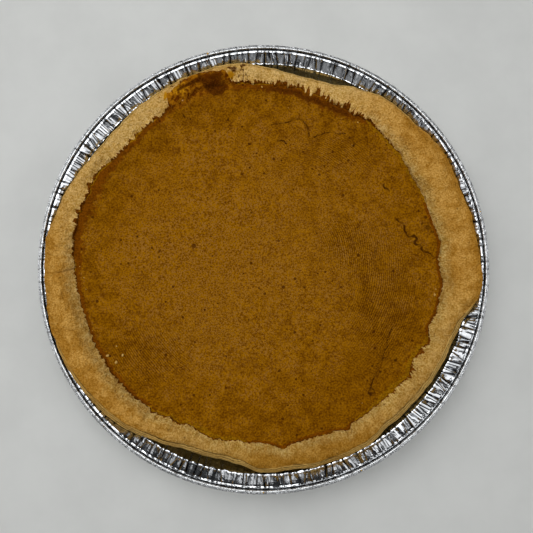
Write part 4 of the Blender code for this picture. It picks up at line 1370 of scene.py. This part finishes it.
def points_object(name, places):
    """Loose points with a size each, from (x, y, z, size) in millimetres."""
    mesh = bpy.data.meshes.new(name)
    mesh.from_pydata([(x * MM, y * MM, z * MM) for x, y, z, _ in places], [], [])
    column = mesh.attributes.new("size", "FLOAT", "POINT")
    column.data.foreach_set("value", np.array([p[3] * MM for p in places], np.float32))
    obj = bpy.data.objects.new(name, mesh)
    bpy.context.scene.collection.objects.link(obj)
    return obj


def surface_height(obj, x, y, start=60.0):
    """The height of a piece's surface under a point, in millimetres."""
    hit, spot, _, _ = obj.ray_cast(Vector((x * MM, y * MM, start * MM)), Vector((0, 0, -1)))
    if not hit:
        raise RuntimeError(f"nothing of {obj.name} lies under {x:.1f}, {y:.1f}")
    return spot.z / MM


def make_drops(sizes, colours):
    """Small drops of custard that fell on the pastry before it was baked."""
    pastry = bpy.data.objects["pastry_case_baked"]
    places = [(x, y, surface_height(pastry, x, y) + 0.12 * size, size) for x, y, size in DROPS]
    points = points_object("drop_points", places)
    material, tree, shader, place = new_material("dried_drop", colours.custard, 0.45, specular=0.1)
    grain = use_group(tree, baked_grain(), {"Vector": place, "Size": 0.0007, "Unevenness": 0.4})
    tone = mix_colours(tree, grain.outputs["Tone"], (*colours.custard_caramel[:3], 1.0), (*colours.custard_amber[:3], 1.0))
    tree.links.new(tone, shader.inputs["Base Color"])
    bump(tree, shader, grain.outputs["Height"], 0.0001)
    drops = baked_from_nodes(
        "custard_drops",
        scatter_tree(),
        {"Points": points, "Flatness": 0.45, "Unevenness": 0.1, "Seed": sizes.seed + 1, "Material": material},
    )
    bpy.data.objects.remove(points)
    finish_piece(drops, None)


def make_crumbs(sizes, colours):
    """Pastry bits on the custard and a few specks on the tin's rim."""
    custard = bpy.data.objects["pumpkin_custard"]
    rng = np.random.default_rng(sizes.seed)
    places = []
    for x, y, size in BITS:
        places.append((x, y, surface_height(custard, x, y) + 0.18 * size, size))
    for _ in range(sizes.crumbs):
        turn = rng.uniform(0, 2 * math.pi)
        radius = 93.0 - abs(rng.normal(0, 9))
        x, y = radius * math.cos(turn), radius * math.sin(turn)
        size = rng.uniform(0.25, 0.5)
        places.append((x, y, surface_height(custard, x, y) + 0.1 * size, size))
    for turn, size in ((105.0, 1.3), (295.0, 1.0), (270.0, 0.8), (13.0, 0.9), (226.0, 0.5), (64.0, 0.5)):
        radius = 120.6
        x, y = radius * math.cos(math.radians(turn)), radius * math.sin(math.radians(turn))
        places.append((x, y, sizes.rim_height / MM + 0.1, size))
    points = points_object("crumb_points", places)
    material, tree, shader, place = new_material("crumb_pastry", colours.pastry_pale, 0.85, specular=0.1)
    grain = use_group(tree, baked_grain(), {"Vector": place, "Size": 0.0006, "Unevenness": 0.5})
    tone = mix_colours(tree, grain.outputs["Tone"], (*colours.pastry_golden[:3], 1.0), (*colours.pastry_pale[:3], 1.0))
    tree.links.new(tone, shader.inputs["Base Color"])
    bump(tree, shader, grain.outputs["Height"], 0.0001)
    crumbs = baked_from_nodes(
        "pastry_crumbs",
        scatter_tree(),
        {"Points": points, "Flatness": 0.5, "Unevenness": 0.12, "Seed": sizes.seed, "Material": material},
    )
    bpy.data.objects.remove(points)
    finish_piece(crumbs, None)


# ---------------------------------------------------------------------------------------------------
# Stage


# Dim cards round the table, which the foil mirrors: azimuth, elevation, width, height, share of brightness.
CARDS = (
    (20, 36, 0.3, 0.4, 0.9), (44, 46, 0.22, 0.45, 0.9), (62, 45, 0.36, 0.5, 0.8), (76, 42, 0.1, 0.4, 2.2),
    (90, 45, 0.4, 0.5, 0.75), (108, 38, 0.14, 0.4, 2.2), (186, 44, 0.2, 0.45, 1.8), (206, 36, 0.24, 0.45, 1.2),
    (226, 46, 0.3, 0.5, 0.5), (240, 36, 0.08, 0.4, 1.2), (254, 45, 0.4, 0.5, 0.42), (270, 40, 0.08, 0.35, 1.2),
    (284, 45, 0.34, 0.5, 0.35), (298, 40, 0.12, 0.4, 0.9), (354, 42, 0.3, 0.5, 1.5),
)


def make_stage(stage):
    """A pale floor, soft lights from above and the left, and the camera."""
    half = 2.2
    floor = bpy.data.meshes.new("floor")
    corners = [(-half, -half, 0), (half, -half, 0), (half, half, 0), (-half, half, 0)]
    floor.from_pydata([(x, y, -0.0002) for x, y, _ in corners], [], [(0, 1, 2, 3)])
    floor = bpy.data.objects.new("floor", floor)
    bpy.context.scene.collection.objects.link(floor)
    material, tree, shader, place = new_material("floor", stage.floor_colour, 0.7, specular=0.2)
    clouds = map_range(tree, shader_noise(tree, place, 0.05, 4.0, 0.6), 0.3, 0.7)
    base = stage.floor_colour[:3]
    tone = mix_colours(tree, clouds, (*[c * 0.965 for c in base], 1.0), (*[min(c * 1.035, 1.0) for c in base], 1.0))
    tree.links.new(tone, shader.inputs["Base Color"])
    floor.data.materials.append(material)

    def area(name, azimuth, elevation, distance, width, depth, radiance):
        light = bpy.data.lights.new(name, "AREA")
        light.shape = "RECTANGLE"
        light.size, light.size_y = width, depth
        light.energy = radiance * math.pi * width * depth
        obj = bpy.data.objects.new(name, light)
        a, e = math.radians(azimuth), math.radians(elevation)
        towards = Vector((math.cos(a) * math.cos(e), math.sin(a) * math.cos(e), math.sin(e)))
        obj.location = towards * distance
        obj.rotation_euler = towards.to_track_quat("Z", "Y").to_euler()
        bpy.context.scene.collection.objects.link(obj)

    area("ceiling", 125, 79, 0.95, 0.8, 0.8, stage.ceiling)
    area("window", 150, 41, 1.2, 0.9, 0.72, stage.window)
    area("side", 338, 46, 1.2, 0.74, 0.72, stage.side)
    for number, (azimuth, elevation, width, depth, share) in enumerate(CARDS):
        area(f"card_{number}", azimuth, elevation, 1.3, width, depth, share * stage.cards)

    world = bpy.data.worlds.new("studio")
    world.use_nodes = True
    world.node_tree.nodes["Background"].inputs[0].default_value = (0.93, 0.97, 1.0, 1.0)
    world.node_tree.nodes["Background"].inputs[1].default_value = stage.room
    bpy.context.scene.world = world

    camera = bpy.data.cameras.new("camera")
    camera.lens, camera.sensor_width = 40.0, 36.0
    camera.clip_start = 0.01
    obj = bpy.data.objects.new("camera", camera)
    tilt = math.radians(5.5)
    target = Vector((0.00157, -0.00264, 0.029))
    obj.location = target + 0.3197 * Vector((0.0, -math.sin(tilt), math.cos(tilt)))
    obj.rotation_euler = (tilt, 0.0, 0.0)
    bpy.context.scene.collection.objects.link(obj)
    bpy.context.scene.camera = obj
    view = bpy.context.scene.view_settings
    view.view_transform = "Standard"
    view.look = "None"


# ---------------------------------------------------------------------------------------------------
# Add-on


def length(name, description, default, high):
    return bpy.props.FloatProperty(
        name=name, description=description, default=default, min=0.0, max=high, subtype="DISTANCE", unit="LENGTH",
        precision=5,
    )


def colour(name, description, default):
    return bpy.props.FloatVectorProperty(
        name=name, description=description, default=default, size=3, min=0.0, max=1.0, subtype="COLOR"
    )


class PieSizes(bpy.types.PropertyGroup):
    """Sizes of the tin, the pastry and the custard."""

    rim_radius: length("Rim Radius", "Outside of the rolled rim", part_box("foil_tin")[1].x, 0.3)
    rim_height: length("Rim Height", "Top of the rolled rim above the floor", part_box("foil_tin")[1].z, 0.1)
    roll_radius: length("Roll Radius", "Radius of the rolled rim's tube", 0.00115, 0.01)
    shoulder_radius: length("Shoulder Radius", "Where the wall turns out into the flange", 0.1132, 0.3)
    shoulder_height: length("Shoulder Height", "Height of that turn", 0.025, 0.1)
    base_radius: length("Base Radius", "Radius of the flat base", 0.0966, 0.3)
    foil_thickness: length("Foil Thickness", "Thickness of the foil", 0.00015, 0.002)
    panels: bpy.props.IntProperty(name="Panels", description="Panels between folds round the tin", default=196, min=8)
    fold_depth: length("Fold Depth", "How far folds stand out from the foil's smooth form", 0.00095, 0.003)
    fold_width: bpy.props.FloatProperty(
        name="Fold Width", description="Width of a fold, in panels", default=0.33, min=0, max=0.34
    )
    bow: length("Bow", "How far a panel bulges or sinks", 0.0002, 0.002)
    slant: bpy.props.FloatProperty(
        name="Slant", description="How far folds lean and bunch, in panels", default=0.3, min=0, max=0.33
    )
    scallop: length("Scallop", "How far each panel's foot reaches in", 0.0005, 0.003)
    facets: length("Facets", "Unevenness of the small facets in a panel", 0.00021, 0.001)
    crinkle: length("Crinkle", "Fine unevenness of the foil", 0.00005, 0.002)
    custard_level: length("Custard Level", "Height of the custard where it meets the pastry", 0.0226, 0.1)
    pastry_columns: bpy.props.IntProperty(
        name="Pastry Columns", description="Points round the pastry", default=1280, min=64
    )
    custard_cells: bpy.props.IntProperty(
        name="Custard Cells", description="Cells across the custard", default=300, min=16
    )
    crumbs: bpy.props.IntProperty(name="Crumbs", description="Loose small crumbs on the custard", default=16, min=0)
    seed: bpy.props.IntProperty(name="Seed", description="Start of every random choice", default=7, min=0)


class PieColours(bpy.types.PropertyGroup):
    """Colours of the foil, the pastry and the custard."""

    foil: colour("Foil", "Bright aluminium", (0.875, 0.9, 0.93))
    pastry_golden: colour("Golden Pastry", "The pastry's top", (0.585, 0.312, 0.06))
    pastry_brown: colour("Brown Pastry", "The pastry's edge and high places", (0.42, 0.195, 0.0225))
    pastry_pale: colour("Pale Pastry", "The pastry's inner face", (0.65, 0.425, 0.13))
    custard: colour("Custard", "The custard's skin", (0.345, 0.14, 0.0013))
    custard_light: colour("Light Custard", "Its paler dots", (0.335, 0.15, 0.023))
    custard_caramel: colour("Caramelised Custard", "Its darker border", (0.155, 0.042, 0.0008))
    custard_amber: colour("Amber Custard", "Where it boiled over thinly", (0.52, 0.23, 0.006))
    custard_burnt: colour("Burnt Custard", "Where it burnt", (0.068, 0.016, 0.0008))


class PieStage(bpy.types.PropertyGroup):
    """The floor and the lights."""

    floor_colour: colour("Floor", "The plain floor", (0.70, 0.71, 0.69))
    ceiling: bpy.props.FloatProperty(name="Ceiling", description="Radiance of the light above", default=2.82, min=0)
    window: bpy.props.FloatProperty(name="Window", description="Radiance of the light at the left", default=1.12, min=0)
    side: bpy.props.FloatProperty(name="Side", description="Radiance of the light at the right", default=0.9, min=0)
    cards: bpy.props.FloatProperty(name="Cards", description="Radiance of the brightest dim card", default=0.42, min=0)
    room: bpy.props.FloatProperty(name="Room", description="Light from all round", default=0.025, min=0)


class PIE_OT_foil_tin(bpy.types.Operator):
    """Make the creased foil tin"""

    bl_idname = "pie.foil_tin"
    bl_label = "Foil Tin"

    def execute(self, context):
        make_tin(context.scene.pie_sizes, context.scene.pie_colours)
        return {"FINISHED"}


class PIE_OT_pastry(bpy.types.Operator):
    """Make the baked pastry case"""

    bl_idname = "pie.pastry"
    bl_label = "Pastry Case"

    def execute(self, context):
        make_pastry(context.scene.pie_sizes, context.scene.pie_colours)
        return {"FINISHED"}


class PIE_OT_custard(bpy.types.Operator):
    """Make the custard, with its cracks and the patch that boiled over; needs the pastry"""

    bl_idname = "pie.custard"
    bl_label = "Custard"

    def execute(self, context):
        if "pastry_case_baked" not in bpy.data.objects:
            raise RuntimeError("make the pastry before the custard")
        make_custard(context.scene.pie_sizes, context.scene.pie_colours)
        return {"FINISHED"}


class PIE_OT_drops(bpy.types.Operator):
    """Add the drops of custard on the pastry; needs the pastry"""

    bl_idname = "pie.drops"
    bl_label = "Custard Drops"

    def execute(self, context):
        if "pastry_case_baked" not in bpy.data.objects:
            raise RuntimeError("make the pastry before the drops on it")
        make_drops(context.scene.pie_sizes, context.scene.pie_colours)
        return {"FINISHED"}


class PIE_OT_crumbs(bpy.types.Operator):
    """Scatter the pastry crumbs; needs the custard"""

    bl_idname = "pie.crumbs"
    bl_label = "Crumbs"

    def execute(self, context):
        if "pumpkin_custard" not in bpy.data.objects:
            raise RuntimeError("make the custard before the crumbs")
        make_crumbs(context.scene.pie_sizes, context.scene.pie_colours)
        return {"FINISHED"}


class PIE_OT_stage(bpy.types.Operator):
    """Make the floor, the lights and the camera"""

    bl_idname = "pie.stage"
    bl_label = "Stage"

    def execute(self, context):
        make_stage(context.scene.pie_stage)
        return {"FINISHED"}


class PIE_PT_panel(bpy.types.Panel):
    """Sizes, colours and steps for making the pie"""

    bl_idname = "PIE_PT_panel"
    bl_label = "Pumpkin Pie"
    bl_space_type = "VIEW_3D"
    bl_region_type = "UI"
    bl_category = "Pumpkin Pie"

    def draw(self, context):
        for group in (context.scene.pie_sizes, context.scene.pie_colours, context.scene.pie_stage):
            box = self.layout.box()
            for name in group.bl_rna.properties.keys():
                if name not in ("rna_type", "name"):
                    box.prop(group, name)
        for operator in STEPS:
            self.layout.operator(operator.bl_idname)


STEPS = (PIE_OT_foil_tin, PIE_OT_pastry, PIE_OT_custard, PIE_OT_drops, PIE_OT_crumbs, PIE_OT_stage)
CLASSES = (PieSizes, PieColours, PieStage, *STEPS, PIE_PT_panel)


def register():
    for item in CLASSES:
        bpy.utils.register_class(item)
    bpy.types.Scene.pie_sizes = bpy.props.PointerProperty(type=PieSizes)
    bpy.types.Scene.pie_colours = bpy.props.PointerProperty(type=PieColours)
    bpy.types.Scene.pie_stage = bpy.props.PointerProperty(type=PieStage)


def unregister():
    del bpy.types.Scene.pie_stage
    del bpy.types.Scene.pie_colours
    del bpy.types.Scene.pie_sizes
    for item in reversed(CLASSES):
        bpy.utils.unregister_class(item)


def main():
    register()
    bpy.ops.pie.foil_tin()
    bpy.ops.pie.pastry()
    bpy.ops.pie.custard()
    bpy.ops.pie.drops()
    bpy.ops.pie.crumbs()
    bpy.ops.pie.stage()


if __name__ == "__main__":
    main()
